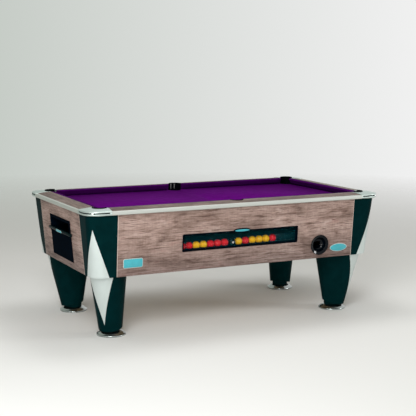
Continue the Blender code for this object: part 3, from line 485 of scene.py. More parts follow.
# %% Leg and foot sizes
LEG_TOP, LEG_TOP_IN, LEG_LONG, LEG_WIDE = CABINET_LOW - GAP, 0.006, 0.155, 0.106   # oval upper end
LEG_LOW, LEG_LOW_IN, LEG_LOW_R, LEG_SLANT = 0.046, 0.022, 0.0755, math.radians(11)   # round lower end
NECK_R, NECK_TOP = 0.055, 0.080
FOOT_IN, FOOT_R, FOOT_T, FOOT_DOME = 0.028, 0.0925, 0.012, 0.018
FOOT_TOP, DOME_R, STEM_R, STEM_TOP = FOOT_T + FOOT_DOME, FOOT_R - 0.006, 0.0125, 0.1005
foot_profile = [(FOOT_R - 0.004, 0.0), (FOOT_R - 0.001, 0.001), (FOOT_R, 0.004), (FOOT_R, 0.0085),
                (FOOT_R - 0.0015, 0.0108)]
for i in range(11):
    share = i / 10
    rise = FOOT_DOME * math.sin(math.pi / 2 * share)
    foot_profile.append((DOME_R + (NECK_R - DOME_R) * share, FOOT_T + rise))
foot_profile += [(STEM_R, FOOT_TOP), (STEM_R, STEM_TOP)]
print("foot", round(2000 * FOOT_R), "mm across, with", len(foot_profile), "points in its profile")


# %% Legs
def on_leg(sx, sy, angle, share, out=0.0):
    """A point on a leg: an angle from the outward diagonal, and a share of the way up."""
    outward = Vector((sx, sy, 0)).normalized()
    across = Vector((-outward.y, outward.x, 0)) * sx * sy
    tilted = outward * math.cos(LEG_SLANT) - Vector((0, 0, math.sin(LEG_SLANT)))
    low = Vector((sx * (BORDER_X - LEG_LOW_IN), sy * (BORDER_Y - LEG_LOW_IN), LEG_LOW))
    top = Vector((sx * (BORDER_X - LEG_TOP_IN), sy * (BORDER_Y - LEG_TOP_IN), LEG_TOP))
    first = low + (LEG_LOW_R + out) * (tilted * math.cos(angle) + across * math.sin(angle))
    long_way, wide_way = (LEG_LONG + out) * outward, (LEG_WIDE + out) * across
    last = top + long_way * math.cos(angle) + wide_way * math.sin(angle)
    return first.lerp(last, share)


for name, sx, sy in CORNERS:
    angles = [2 * math.pi * i / 72 for i in range(72)]
    sides = skin([[on_leg(sx, sy, a, share) for a in angles] for share in (0.0, 0.5, 1.0)])
    at = (sx * (BORDER_X - FOOT_IN), sy * (BORDER_Y - FOOT_IN), 0)
    neck = turned([(NECK_R, FOOT_TOP + GAP), (NECK_R, NECK_TOP)], at, UP)
    leg = piece(name + "_leg_moulding", [sides, neck], lacquer, "table", [name + "_leg"])
    soften(leg, 0.0045, 4)
    piece(name + "_foot_disc", [turned(foot_profile, at, UP, 80)], chrome, name + "_foot",
          [name + "_levelling_foot"], 50)
print("legs and feet:", len(CORNERS))

# %% [markdown]
# ## Silver kite inlays
# A silver kite runs down each corner, its upper half on the post and its lower half on the leg. It
# could be painted into the lacquer's material, but the real one is a thin plate with an edge that
# catches light. Each half is a thin skin whose width shrinks towards its tip, made from the same
# points as the surface it lies on.

# %% Kites
INLAY_OUT, INLAY_SUNK = 0.0007, -0.0004
KITE_LIFT, KITE_TALL, KITE_HALF, KITE_TIP = 0.0004, 0.300, 0.0850, 0.0004   # upper half
KITE_TURN, KITE_TURN_TIP = math.radians(48), 0.004          # lower half: half widths as angles
KITE_FROM, KITE_RUN = 0.996, 0.856                          # where it starts on the leg, and its run


def inlay_ring(place, half, steps=18):
    """One level of a thin plate: across its face, then back along its underside."""
    across = [half * (2 * i / steps - 1) for i in range(steps + 1)]
    return [place(a, INLAY_OUT) for a in across] + [place(a, INLAY_SUNK) for a in reversed(across)]


for name, sx, sy in CORNERS:
    upper, lower = [], []
    for i in range(25):
        share = i / 24
        z = CABINET_LOW + KITE_LIFT + KITE_TALL * share
        half = KITE_HALF * (1 - share) + KITE_TIP
        upper.append(inlay_ring(lambda a, out: on_post(sx, sy, a, z, out), half))
        height = KITE_FROM - KITE_RUN * share
        turn = KITE_TURN * (1 - share) + KITE_TURN_TIP
        lower.append(inlay_ring(lambda a, out: on_leg(sx, sy, a, height, out), turn))
    piece(name + "_upper_kite", [skin(upper)], inlay_silver)
    piece(name + "_lower_kite", [skin(lower)], inlay_silver)
print("kites:", 2 * len(CORNERS))

# %% [markdown]
# ## Panels and inside boards
# The panels' shapes are already right in the solids, so they stay and get the laminate. A weld
# joins the points that the solid's faces share, and a bevel then rounds the cut edges, which leaves
# the solid's own mesh as it was. The boards, runs and slate inside get their own finishes in the
# same way. A pale strip along each upright edge of a panel is a painted highlight, for the light
# that the board's edge catches.

# %% Solids that stay
def dress(name, material, rounding=0.0):
    """Gives a solid that stays in view its finish, and takes the sharpness off its edges."""
    solid = solids[name]
    solid.data.materials.clear()
    solid.data.materials.append(material)
    if rounding:
        weld = solid.modifiers.new("joined_points", "WELD")
        weld.merge_threshold = 0.00001
        soften(solid, rounding)


for side, grain in (("front", wood_long), ("back", wood_long), ("head", wood_cross), ("foot", wood_cross)):
    dress(side + "_panel", grain, 0.0008)
for name in ("base_board", "head_slate_bearer", "foot_slate_bearer"):
    dress(name, bare_board)
for name in ("front_ball_run", "rear_ball_run", "ball_trough", "delivery_chute"):
    dress(name, dark_green_run)
dress("slate_bed", slate)
dress("window_glass", pane)
dress("release_gate", sheet_steel, 0.0004)
dress("cash_box", sheet_steel, 0.0008)
print("dressed solids: panels, boards, runs, slate, pane, gate and cash box")

# %% Painted highlights along the panels' upright edges
# Pale strips on the panels' upright edges: painted highlights where the edges catch light
BAND_W, BAND_IN, BAND_ROUND, BAND_OUT, BAND_ROOT = 0.0026, 0.0006, 0.0004, 0.0003, -0.0010
painted_edge_highlight = mottled("painted_edge_highlight", (0.56, 0.47, 0.42), 0.45, 0.05, 60.0, 0.0001, shade=0.08,
                    Specular_IOR_Level=0.15)
band_section = [(0.0, BAND_ROOT), (0.0, 0.0001), (BAND_ROUND, BAND_OUT), (BAND_W - BAND_ROUND, BAND_OUT),
                (BAND_W, 0.0001), (BAND_W, BAND_ROOT)]
for side, place, border in (("front", front, BORDER_X), ("back", back, BORDER_X),
                            ("head", head_end, BORDER_Y), ("foot", foot_end, BORDER_Y)):
    for sign, end in ((-1, "first"), (1, "second")):
        rings = [[place(sign * (border - BAND_IN - a), z, out) for a, out in band_section]
                 for z in (CABINET_LOW + BAND_IN, CABINET_TOP - BAND_IN)]
        piece(side + "_panel_" + end + "_painted_edge_highlight", [skin(rings)], painted_edge_highlight)
print("painted edge highlights, each", 1000 * BAND_W, "mm wide")

# %% [markdown]
# ## Metal edge
# A drawn aluminium edge runs round the table between the corner caps. Its section is a flat band
# with rounded upper and lower edges, so a soft light draws a bright line along it. The section is
# written once and swept along each side, and the ends are cut at the slant that the corner caps
# have.

# %% Edge trim
CAP_ARM, CAP_SLANT = 0.160, 0.014       # length of a cap's arms, and the slant of their ends


def rail_point(side, along, depth, z):
    """A point on one of the four sides, from a distance along it and a depth in from the edge."""
    if side == "front":
        return Vector((along, -(SIDE_Y - depth), z))
    if side == "back":
        return Vector((along, SIDE_Y - depth, z))
    if side == "head":
        return Vector((-(END_X - depth), along, z))
    return Vector((END_X - depth, along, z))


def half_length(side, depth):
    """Where a rail ends against the slanted side of a corner cap."""
    full = END_X if side in ("front", "back") else SIDE_Y
    return full - CAP_ARM - CAP_SLANT * depth / RAIL_BACK - GAP


def rounded_band(low, high, deep, radius):
    """Section of a band with rounded outer edges, as (depth, height) points."""
    round_by = (radius, radius)
    return ([(deep, low)] + arc((radius, low + radius), round_by, -90, -180, 5)
            + arc((radius, high - radius), round_by, 180, 90, 5) + [(deep, high)])


SIDES = (("front", rail_wood_long_painted_shade, trim_long), ("back", rail_wood_long_painted_shade, trim_long),
         ("head", rail_wood_cross_painted_shade, trim_cross), ("foot", rail_wood_cross_painted_shade, trim_cross))
band = rounded_band(RIM_SEAT + 0.0008, RIM_SEAT + TRIM_H, TRIM_T, 0.0045)
for side, grain, metal in SIDES:
    rings = [[rail_point(side, way * half_length(side, d), d, z) for d, z in band] for way in (-1, 1)]
    piece(side + "_metal_edge", [skin(rings)], metal, "table", [side + "_edge_trim"], 50)
print("metal edges:", len(SIDES))

# %% [markdown]
# ## Cap rails
# The wood tops of the rails rise from the metal edge in a quarter curve to the cushions. On the two
# long sides a round bite is taken out for the middle pocket. A Boolean cut would do that, but
# letting the sections along the rail grow shallower over the width of the bite keeps the faces
# even.

# %% Cap rails
BITE_R, MIDDLE_D = 0.0468, 0.115        # bite for a middle pocket, and the pocket's depth in the rail
JOINT_OPEN, STATIONS, BITE_CLEAR = 0.0060, 12, 0.060


def rail_depth(side, along):
    """How deep a rail is at a place along it: less where the middle pocket bites into it."""
    if side in ("head", "foot") or abs(along) >= BITE_R:
        return RAIL_BACK
    return min(RAIL_BACK, MIDDLE_D - math.sqrt(BITE_R ** 2 - along ** 2))


def rail_ring(side, along, steps=14):
    """Section of a rail at a place along it: over its top and back along its seat."""
    over = []
    near, foot_z = TRIM_T + GAP, RIM_SEAT + TRIM_H
    deep = rail_depth(side, along)
    for i in range(steps + 1):
        depth = near + (deep - near) * i / steps
        rise = math.sin((depth - near) / (RAIL_BACK - near) * math.pi / 2)
        over.append((depth, foot_z + (RAIL_TOP - foot_z) * rise))
    return over + [(d, RIM_SEAT) for d, z in reversed(over)]


def rail_end(side, depth):
    """A rail's end: it leaves a joint beside the cap that widens towards the cushion."""
    return half_length(side, depth) - JOINT_OPEN * depth / RAIL_BACK


for side, grain, metal in SIDES:
    end = rail_end(side, RAIL_BACK)
    even = [end * (2 * i / STATIONS - 1) for i in range(1, STATIONS)]
    inside = [along for along in even if abs(along) > BITE_CLEAR]
    if side in ("front", "back"):
        inside += [BITE_R * math.sin(math.pi * (i / 32 - 0.5)) for i in range(33)]
    rings = [[rail_point(side, -rail_end(side, d), d, z) for d, z in rail_ring(side, -end)]]
    rings += [[rail_point(side, along, d, z) for d, z in rail_ring(side, along)] for along in sorted(inside)]
    rings += [[rail_point(side, rail_end(side, d), d, z) for d, z in rail_ring(side, end)]]
    rail = piece(side + "_wood_rail", [skin(rings)], grain, "table", [side + "_cap_rail"])
    soften(rail, 0.0006, 2, 60)
print("cap rails:", len(SIDES))

# %% [markdown]
# ## Cushions
# A cushion is a strip of rubber under tightly stretched cloth. Its nose overhangs the bed, and its
# ends curve away into the pockets. The shape is firm, so a cloth simulation would only blur it: a
# rounded section is skinned along the strip instead, and its depth follows a quarter ellipse at the
# ends. A shallow groove is left along the wood, where the cloth is tucked under the rail.

# %% Cushions
JAW, JAW_TIP = 0.042, 0.22              # length of the curved end, share of the depth at its tip
NOSE_UP, NOSE_R = 0.0030, 0.0030        # cloth over the solid's nose, and the nose's rounding
LONG_END, MIDDLE_END, CROSS_END = 0.889, 0.049, 0.424


def cushion_section():
    """Share of the depth, and height, from the foot of the back over the nose to the front."""
    top, nose = RAIL_TOP - GAP, NOSE_Z + NOSE_UP
    start = 1 - NOSE_R / CUSHION_W
    section = [(0.0, SEAT), (0.0, top - 0.0016), (0.012, top - 0.0007), (0.035, top - 0.0002)]
    for i in range(1, 9):
        share = i / 9 * start
        section.append((share, top - (top - nose - NOSE_R) * (share / start) ** 2.8))
    section += arc((start, nose), (1 - start, NOSE_R), 90, -37, 8)
    return section + [(0.60, BED + 0.0152), (0.25, SEAT)]


def cushion_rings(side, low, high):
    stations = []
    for i in range(17):
        share = 1 - math.cos(math.pi / 2 * i / 16)
        stations.append((share * JAW, JAW_TIP + (1 - JAW_TIP) * math.sqrt(1 - (1 - share) ** 2)))
    places = [(low + t, deep) for t, deep in stations]
    places += [(low + (high - low) * i / 10, 1.0) for i in range(1, 10)]
    places += [(high - t, deep) for t, deep in reversed(stations)]
    section = cushion_section()
    wide = CUSHION_W - GAP
    return [[rail_point(side, along, RAIL_BACK + GAP + k * deep * wide, z) for k, z in section]
            for along, deep in places]


CUSHIONS = [(side + end, side, low, high) for side in ("front", "back")
            for end, low, high in (("_head", -LONG_END, -MIDDLE_END), ("_foot", MIDDLE_END, LONG_END))]
CUSHIONS += [(side, side, -CROSS_END, CROSS_END) for side in ("head", "foot")]
for name, side, low, high in CUSHIONS:
    strip = piece(name + "_cushion_cover", [skin(cushion_rings(side, low, high))], cushion_cloth_painted_shade,
                  "table", [name + "_cushion"], 60)
print("cushions:", len(CUSHIONS))

# %% [markdown]
# ## Corner caps
# A cast metal cap covers each corner of the rails. It bows round the pocket, has a lip below, and a
# slit runs round its face. Its section changes little, so it is swept round the corner between an
# outer line and the pocket's rim. The slit fades out towards both arms, and a small polished button
# sits in it on the corner.

# %% Outline of a cap
CAP_R, POCKET_D, BOW = 0.095, 0.125, 0.0468     # outer round, pocket in from the edge, bow round it
BOW_START = math.acos((RAIL_BACK - POCKET_D) / BOW)
BOW_END = POCKET_D + BOW * math.sin(BOW_START)
ARM_SHARE = 0.22


def cap_lines(t):
    """Outer and inner plan points of a cap, measured in from the corner, a share of the way round."""
    if t < ARM_SHARE or t > 1 - ARM_SHARE:
        part = min(t, 1 - t) / ARM_SHARE
        outer = Vector((CAP_ARM + (CAP_R - CAP_ARM) * part, 0))
        inner = Vector((CAP_ARM + CAP_SLANT + (BOW_END - CAP_ARM - CAP_SLANT) * part, RAIL_BACK))
        return (outer, inner) if t < 0.5 else (outer.yx, inner.yx)
    part = (t - ARM_SHARE) / (1 - 2 * ARM_SHARE)
    a = math.pi / 2 * part
    b = math.radians(450) - BOW_START - (math.radians(450) - 2 * BOW_START) * part
    outer = Vector((CAP_R - CAP_R * math.sin(a), CAP_R - CAP_R * math.cos(a)))
    return outer, Vector((POCKET_D + BOW * math.cos(b), POCKET_D + BOW * math.sin(b)))


def from_corner(sx, sy, flat, z):
    """A point of the table, from a plan point measured in from one of its corners."""
    return Vector((sx * (END_X - flat.x), sy * (SIDE_Y - flat.y), z))


print("cap arms", round(1000 * CAP_ARM), "mm long")

# %% Section of a cap
SLIT_MIDDLE, SLIT_HALF, SLIT_DEEP, SLIT_BREAK = RIM_SEAT + 0.64 * TRIM_H, 0.0035, 0.0068, 0.0008
LIP_IN, LIP_UP, CAP_EDGE, CAP_FALL = 0.011, 0.007, 0.0055, 0.0016
SHOULDER = RIM_SEAT + TRIM_H + 0.003


def cap_section(width, slit):
    """Distance in from the outer line, and height: up the face, over the top, down to the pocket."""
    low, high = SLIT_MIDDLE - SLIT_HALF, SLIT_MIDDLE + SLIT_HALF
    broken, deep = SLIT_BREAK * min(slit, 1.0), SLIT_DEEP * slit
    section = arc((LIP_IN, RIM_SEAT + LIP_UP), (LIP_IN, LIP_UP), -90, -180, 4)
    section += [(0.0, low - SLIT_BREAK), (broken, low), (deep, low + 0.0003), (deep, high - 0.0003),
                (broken, high), (0.0, high + SLIT_BREAK)]
    section += arc((CAP_EDGE, SHOULDER - CAP_EDGE), (CAP_EDGE, CAP_EDGE), 180, 90, 6)
    for i in range(1, 11):
        share = i / 10
        depth = CAP_EDGE + (width - CAP_FALL - CAP_EDGE) * share
        section.append((depth, SHOULDER + (RAIL_TOP - SHOULDER) * math.sin(share * math.pi / 2)))
    return section + [(width - 0.0005, RAIL_TOP - 0.0005), (width, RAIL_TOP - CAP_FALL), (width, RIM_SEAT)]


def smooth_step(low, high, value):
    share = max(0.0, min(1.0, (value - low) / (high - low)))
    return share * share * (3 - 2 * share)


print("slit", round(2000 * SLIT_HALF), "mm high")

# %% Caps, painted shade in their slits, and buttons
CAP_STEPS, SLIT_FADE, SLIT_SHADE_FROM, BUTTON_AT, BUTTON_SIDE = 64, (0.02, 0.06), 0.6, 0.44, 0.02
# A black strip set deep in each slit is painted shade in the groove
SLIT_SHADE = [(d, SLIT_MIDDLE + h * (SLIT_HALF - 0.0004))
          for d, h in ((0.0016, -1), (0.0070, -1), (0.0070, 1), (0.0016, 1))]
BUTTON = [(0.0050, -0.0066), (0.0078, -0.0060), (0.0078, -0.0010), (0.0066, 0.0006), (0.0040, 0.0016),
          (0.0004, 0.0020)]
for name, sx, sy in CORNERS:
    rings, slit_shade_rings = [], []
    for i in range(CAP_STEPS + 1):
        t = i / CAP_STEPS
        outer, inner = cap_lines(t)
        inward = (inner - outer).normalized()
        slit = smooth_step(*SLIT_FADE, min(t, 1 - t)) + 0.001
        section = cap_section((inner - outer).length, slit)
        rings.append([from_corner(sx, sy, outer + inward * d, z) for d, z in section])
        if slit > SLIT_SHADE_FROM:
            slit_shade_rings.append([from_corner(sx, sy, outer + inward * d, z) for d, z in SLIT_SHADE])
    piece(name + "_cast_cap", [skin(rings)], cast_silver, "table", [name + "_corner_cap"],
          40)
    # The slit's black strip: painted shade
    piece(name + "_slit_painted_shade", [skin(slit_shade_rings)], pocket_black)
    before, after = cap_lines(BUTTON_AT - BUTTON_SIDE)[0], cap_lines(BUTTON_AT + BUTTON_SIDE)[0]
    at = from_corner(sx, sy, cap_lines(BUTTON_AT)[0], SLIT_MIDDLE)
    out = Vector((sx * (after.y - before.y), sy * (before.x - after.x), 0)).normalized()
    piece(name + "_cap_button", [turned(BUTTON, at, out, 32)], bright_metal)
print("corner caps:", len(CORNERS))

# %% [markdown]
# ## Pocket liners
# Each pocket is a black moulding: a wall that stands behind the ball, open towards the table, over
# a slanted drop to the ball runs. The wall is a rounded section swept through part of a circle, and
# the drop is a tube skinned from three rings. The middle liners have two pale ribs inside, which
# show between the cushions: painted highlights, for the light that the curved wall catches.

# %% Liner shells
LINER_IN, LINER_OUT, CORNER_PROUD, MIDDLE_PROUD = 0.041, 0.046, 0.0065, 0.0025
SLATE_TOP, SLATE_LOW, DROP_LOW, DROP_SHIFT = 0.777, 0.758, 0.713, 0.0255
WALL_LOW, WALL_PAST, RIB_TURN = SLATE_TOP - 0.004, 0.002, 20
RIB = [(0.0008, BED + 0.0020), (0.0036, BED + 0.0050), (0.0036, RAIL_TOP - 0.0080),
       (0.0026, RAIL_TOP - 0.0052), (0.0006, RAIL_TOP - 0.0040)]


def liner_shells(centre, way, shift, top):
    """Wall and drop of a liner that opens one way."""
    mid, half = (LINER_IN + LINER_OUT) / 2, (LINER_OUT - LINER_IN) / 2
    section = [(LINER_IN, WALL_LOW), (LINER_OUT, WALL_LOW)] + arc((mid, top - half), (half, half), 0, 180, 8)
    back_angle = math.atan2(-way.y, -way.x)
    spread = math.pi / 2 + math.asin(WALL_PAST / mid)
    wall = []
    for i in range(49):
        a = back_angle + spread * (2 * i / 48 - 1)
        wall.append([centre + Vector((r * math.cos(a), r * math.sin(a), z)) for r, z in section])
    levels = [(SLATE_TOP - 0.0005, 0.0), (SLATE_LOW, 0.0), (DROP_LOW, shift)]
    drop = []
    for radius, order in ((LINER_OUT, levels), (LINER_IN, levels[::-1])):
        drop += [circle(centre + way * out + Vector((0, 0, z)), radius, UP, 48) for z, out in order]
    return [skin(wall), skin(drop, True)]


def rib_shells(centre, way):
    """Two upright pale ribs on the inside of a pocket's wall: painted highlights on the curved wall."""
    back_angle = math.atan2(-way.y, -way.x)
    shells = []
    for turn in (-RIB_TURN, RIB_TURN):
        a = back_angle + math.radians(turn)
        at = centre + (LINER_IN - 0.0006) * Vector((math.cos(a), math.sin(a), 0))
        shells.append(turned(RIB, at, UP, 20))
    return shells


print("liner bore", round(2000 * LINER_IN), "mm")

# %% Liners
# Pale ribs: painted highlights on the middle liners' curved walls
pale_rib_highlight = mottled("pale_rib_painted_highlight", (0.16, 0.165, 0.16), 0.40, 0.05, 40.0, 0.0, shade=0.04)
POCKETS = [(name, Vector((sx * (END_X - POCKET_D), sy * (SIDE_Y - POCKET_D), 0)),
            Vector((-sx, -sy, 0)).normalized(), DROP_SHIFT) for name, sx, sy in CORNERS]
POCKETS += [(side + "_middle", Vector((0, sy * (SIDE_Y - MIDDLE_D), 0)), Vector((0, -sy, 0)), 0.0)
            for side, sy in (("front", -1), ("back", 1))]
for name, centre, way, shift in POCKETS:
    rim_top = RAIL_TOP + (MIDDLE_PROUD if "middle" in name else CORNER_PROUD)
    piece(name + "_pocket_moulding", liner_shells(centre, way, shift, rim_top), pocket_black, "table",
          [name + "_pocket_liner"], 50)
    if "middle" in name:
        piece(name + "_pocket_ribs", rib_shells(centre, way), pale_rib_highlight)
print("pocket liners:", len(POCKETS))

# %% [markdown]
# ## Bed cloth
# One piece of cloth is stretched over the slate and stapled out of sight under the rails, with six
# holes for the pockets. It could be a flat plane with the holes painted dark, but then the pockets
# would have no edge. The outline and the holes are triangulated together instead, and the sheet
# gets its real thickness.

# %% Flat cut of the cloth
CLOTH_HALF_X, CLOTH_HALF_Y, CLOTH_CORNER, CLOTH_T = 1.009, 0.544, 0.058, 0.0012
HOLE_R = 0.0465


def rounded_loop(half_w, half_h, radius, steps=8):
    """Rounded rectangle in the plane, as (across, up) points."""
    loop = []
    for sx, sy, first in ((1, 1, 0), (-1, 1, 90), (-1, -1, 180), (1, -1, 270)):
        middle = (sx * (half_w - radius), sy * (half_h - radius))
        loop += arc(middle, (radius, radius), first, first + 90, steps)
    return loop


loops = [[Vector(p) for p in rounded_loop(CLOTH_HALF_X, CLOTH_HALF_Y, CLOTH_CORNER, 10)]]
loops += [[p.xy for p in circle(pocket[1], HOLE_R, UP, 64)] for pocket in POCKETS]
points, edges = [], []
for loop in loops:
    start = len(points)
    points += loop
    edges += [(start + i, start + (i + 1) % len(loop)) for i in range(len(loop))]
cut = delaunay_2d_cdt(points, edges, [], 1, 0.00001)
flat_points, flat_faces = cut[0], cut[2]


def on_slate(face):
    """True for a triangle that lies outside all the holes."""
    middle = sum((flat_points[i] for i in face), Vector((0, 0))) / len(face)
    return all((middle - pocket[1].xy).length > HOLE_R * 0.999 for pocket in POCKETS)


flat_faces = [face for face in flat_faces if on_slate(face)]
print("cloth cut into", len(flat_faces), "triangles")

# %% Bed cloth
bed = piece("bed_cloth_sheet", [([Vector((p.x, p.y, BED)) for p in flat_points], flat_faces)], cloth,
            "table", ["bed_cloth"])
if bed.data.polygons[0].normal.z < 0:
    bed.data.flip_normals()
thickness = bed.modifiers.new("cloth_thickness", "SOLIDIFY")
thickness.thickness = CLOTH_T
thickness.offset = -1.0

# %% [markdown]
# ## Ball window
# The window has a black moulded frame with rounded corners and a raised oval on its top edge.
# Behind the tinted pane the balls stand in a row. A frame like this is one section carried round a
# rounded rectangle that leans with the panel, and the oval is a flat dome of a few shrinking rings.

# %% Window frame
WINDOW_W, WINDOW_Z, WINDOW_H, FRAME_W, FRAME_OUT = 0.4095, 0.5785, 0.0475, 0.008, 0.004
RETURN, RETURN_T, HAIR = -0.020, 0.004, 0.00001         # the frame's return into the panel
BOSS_Z = WINDOW_Z + WINDOW_H + 0.6 * FRAME_W + 0.0020
BOSS_HALF_W, BOSS_HALF_H = 0.060, 0.0145


def oval_loop(half_w, half_h, steps=64):
    return arc((0.0, 0.0), (half_w, half_h), 0, 360, steps)[:-1]


def plate_shell(place, middle, levels, shape):
    """A flat dome on a face: each level is (inset from the outline, distance out)."""
    return skin([[place(middle[0] + a, middle[1] + b, out) for a, b in shape(inset)]
                 for inset, out in levels])


def boss_shape(inset):
    return oval_loop(BOSS_HALF_W - inset, BOSS_HALF_H - inset)


section = [(0.0, RETURN), (-RETURN_T, RETURN), (-RETURN_T, GAP), (-FRAME_W, GAP),
           (-FRAME_W, FRAME_OUT * 0.55), (-FRAME_W + 0.0012, FRAME_OUT * 0.85),
           (-FRAME_W + 0.003, FRAME_OUT), (-0.0022, FRAME_OUT), (-0.0006, FRAME_OUT * 0.8),
           (0.0, FRAME_OUT * 0.4)]
rings = []
for inset, out in section:
    loop = rounded_loop(WINDOW_W - inset - HAIR, WINDOW_H - inset, 0.0025 - min(inset, 0.0) * 0.6)
    rings.append([front(a, WINDOW_Z + b, out) for a, b in loop])
boss_levels = [(0.0, GAP), (0.0, 0.0040), (0.0006, 0.0054), (0.0022, 0.0060)]
boss = plate_shell(front, (0.0, BOSS_Z), boss_levels, boss_shape)
piece("window_surround", [skin(rings, True), boss], black_moulding, "table", ["window_frame"])
print("window frame", round(2000 * WINDOW_W), "mm wide inside")

# %% [markdown]
# ## Balls
# Fifteen balls wait behind the window: seven red, seven yellow and one black. Cast resin is
# polished, so the shape needs many faces, and the colour a faint depth under a smooth gloss. Each
# ball is its own piece, and they all ride on the row that rolls down when the gate opens. The black
# one has a plain white disc let into it, so it can be told from the shadow behind it. A level strip
# along the trough's front edge hides the bottoms of the lower balls.

# %% Balls
def resin(name, colour):
    return mottled(name, colour, 0.07, 0.02, 30.0, 0.0, shade=0.06, Specular_IOR_Level=0.14)


RESINS = {"red": resin("red_resin", (0.78, 0.014, 0.022)),
          "yellow": resin("yellow_resin", (1.0, 0.53, 0.006)),
          "black": resin("black_resin", (0.006, 0.006, 0.006))}
ROW = ["yellow", "red", "red", "yellow", "yellow", "red", "red", "red", "black", "yellow", "red",
       "yellow", "yellow", "yellow", "red"]
BALL_R, BALL_STEP, BALL_UP = 0.0254, 0.0507, 0.0257     # radius, spacing, middle above the trough
TROUGH_Y, TROUGH_FALL, TROUGH_Z, ROW_X = 0.464, 0.0107, 0.5203, -0.4333
slope = math.atan(TROUGH_FALL)
row_way = Vector((math.cos(slope), 0, math.sin(slope)))
row_up = Vector((-math.sin(slope), 0, math.cos(slope)))
first_ball = Vector((ROW_X, -TROUGH_Y, TROUGH_Z + TROUGH_FALL * ROW_X)) + BALL_UP * row_up
ball_profile = [(max(r, 0.00002), h) for r, h in arc((0, 0), (BALL_R, BALL_R), -90, 90, 32)]
for i, colour in enumerate(ROW):
    ball = turned(ball_profile, first_ball + row_way * BALL_STEP * i, (0, 1, 0), 48)
    piece("ball_{:02d}_{}".format(i + 1, colour), [ball], RESINS[colour], "ball_row", ["object_balls"],
          80)
print("balls:", len(ROW))

# %% Disc on the black ball, and the lip in front of the row
SPOT_R, SPOT_ANGLE, SPOT_ROOT = BALL_R + 0.00012, 15, 0.0006
spot_outer = [(max(r, 0.0008 * SPOT_R), h)
              for r, h in arc((0, 0), (SPOT_R, SPOT_R), 90 - SPOT_ANGLE, 90, 6)]
spot_root = [(r * (1 - SPOT_ROOT / BALL_R), h * (1 - SPOT_ROOT / BALL_R)) for r, h in reversed(spot_outer)]
black_at = first_ball + row_way * BALL_STEP * ROW.index("black")
piece("black_ball_disc", [turned(spot_root + spot_outer, black_at, (0, -1, 0), 32)],
      resin("white_resin", (0.80, 0.79, 0.75)), "ball_row", (), 50)
STRIP_BACK, STRIP_T, STRIP_LOW, STRIP_TOP, STRIP_END = 0.4954, 0.0020, 0.5215, 0.5315, 0.425
half = STRIP_T / 2
strip_section = [(STRIP_BACK, STRIP_LOW), (STRIP_BACK + STRIP_T, STRIP_LOW)]
strip_section += arc((STRIP_BACK + half, STRIP_TOP - half), (half, half), 0, 180, 6)
strip = skin([[Vector((x, -y, z)) for y, z in strip_section] for x in (-STRIP_END, STRIP_END)])
piece("trough_front_lip", [strip], black_moulding)
print("plain white disc on the black ball, lip strip in front of the row")

# %% [markdown]
# ## Cue-ball cup
# The smaller cue ball drops out of the row and comes to a glossy round cup in the front. The cup is
# turned about an axis square to the leaning panel. Its lip flares inwards as a cone, so a light
# from the side leaves one bright spot on it, and a few extra points keep the cone straight under
# smooth shading. A Boolean then opens the cup's back for the short gutter that brings the ball,
# which is a plain U-shaped strip.

# %% Cup
CUP_X, CUP_Z, CUP_R, CUP_BORE, CUP_DEPTH, CUP_WALL = 0.594, 0.491, 0.068, 0.049, 0.038, 0.004
CUP_PROUD, LIP_ROUND, FLARE, AXIS_R = 0.006, 0.0026, 26, 0.0004
FLARE_SPAN = CUP_R - CUP_BORE - 2 * LIP_ROUND
FLARE_LOW = CUP_PROUD - FLARE_SPAN * math.tan(math.radians(FLARE))
cup_axis = Vector((0, -1, -LEAN / (BED - CABINET_LOW))).normalized()
deep = CUP_BORE + CUP_WALL
lip_radii = (LIP_ROUND, LIP_ROUND)
profile = [(AXIS_R, -CUP_DEPTH - CUP_WALL), (CUP_BORE * 0.60, -CUP_DEPTH - CUP_WALL),
           (deep * 0.93, -CUP_DEPTH * 0.80), (deep, -CUP_DEPTH * 0.6), (deep, GAP), (CUP_R - 0.0015, GAP)]
lip_outer = arc((CUP_R - LIP_ROUND, CUP_PROUD - LIP_ROUND), lip_radii, 0, 90, 6)
lip_inner = arc((CUP_BORE + LIP_ROUND, FLARE_LOW - LIP_ROUND), lip_radii, 90 + FLARE, 180, 6)
cone = [tuple(Vector(lip_outer[-1]).lerp(Vector(lip_inner[0]), share)) for share in (0.06, 0.35, 0.65, 0.94)]
profile += lip_outer + cone + lip_inner
for i in range(2, 13):
    a = math.pi / 2 * i / 12
    profile.append((max(CUP_BORE * math.cos(a) ** 0.7, AXIS_R), -CUP_DEPTH * math.sin(a)))
cup = piece("cue_ball_cup_moulding", [turned(profile, front(CUP_X, CUP_Z, 0.0), cup_axis, 96)],
            black_gloss, "table", ["cue_ball_cup"], 60)
print("cup", round(2000 * CUP_R), "mm across")

# %% Cup's inlet and gutter
CUE_R, GUTTER_T, GUTTER_H, GUTTER_FALL = 0.0238, 0.003, 0.015, 0.004
ROW_CLEAR, CUP_CLEAR = 0.006, 0.001     # room past the ball in the trough, and before the cup's back
cup_floor = CUP_Z - 0.62 * CUP_BORE
half, inlet_top = CUE_R + 0.002, cup_floor + 2 * CUE_R
inlet_loop = ((-half, cup_floor), (half, cup_floor), (half, inlet_top), (-half, inlet_top))
inlet = piece("inlet_cutter", [skin([[front(CUP_X + a, z, out) for a, z in inlet_loop]
                                     for out in (-1.8 * CUP_DEPTH, -0.8 * CUP_DEPTH)])], black_gloss)
opening = cup.modifiers.new("inlet", "BOOLEAN")
opening.object = inlet
opening.solver = "EXACT"
cut_mesh = bpy.data.meshes.new_from_object(cup.evaluated_get(bpy.context.evaluated_depsgraph_get()))
cup.modifiers.clear()
cup.data = cut_mesh
bpy.data.objects.remove(inlet)
wide = half + GUTTER_T
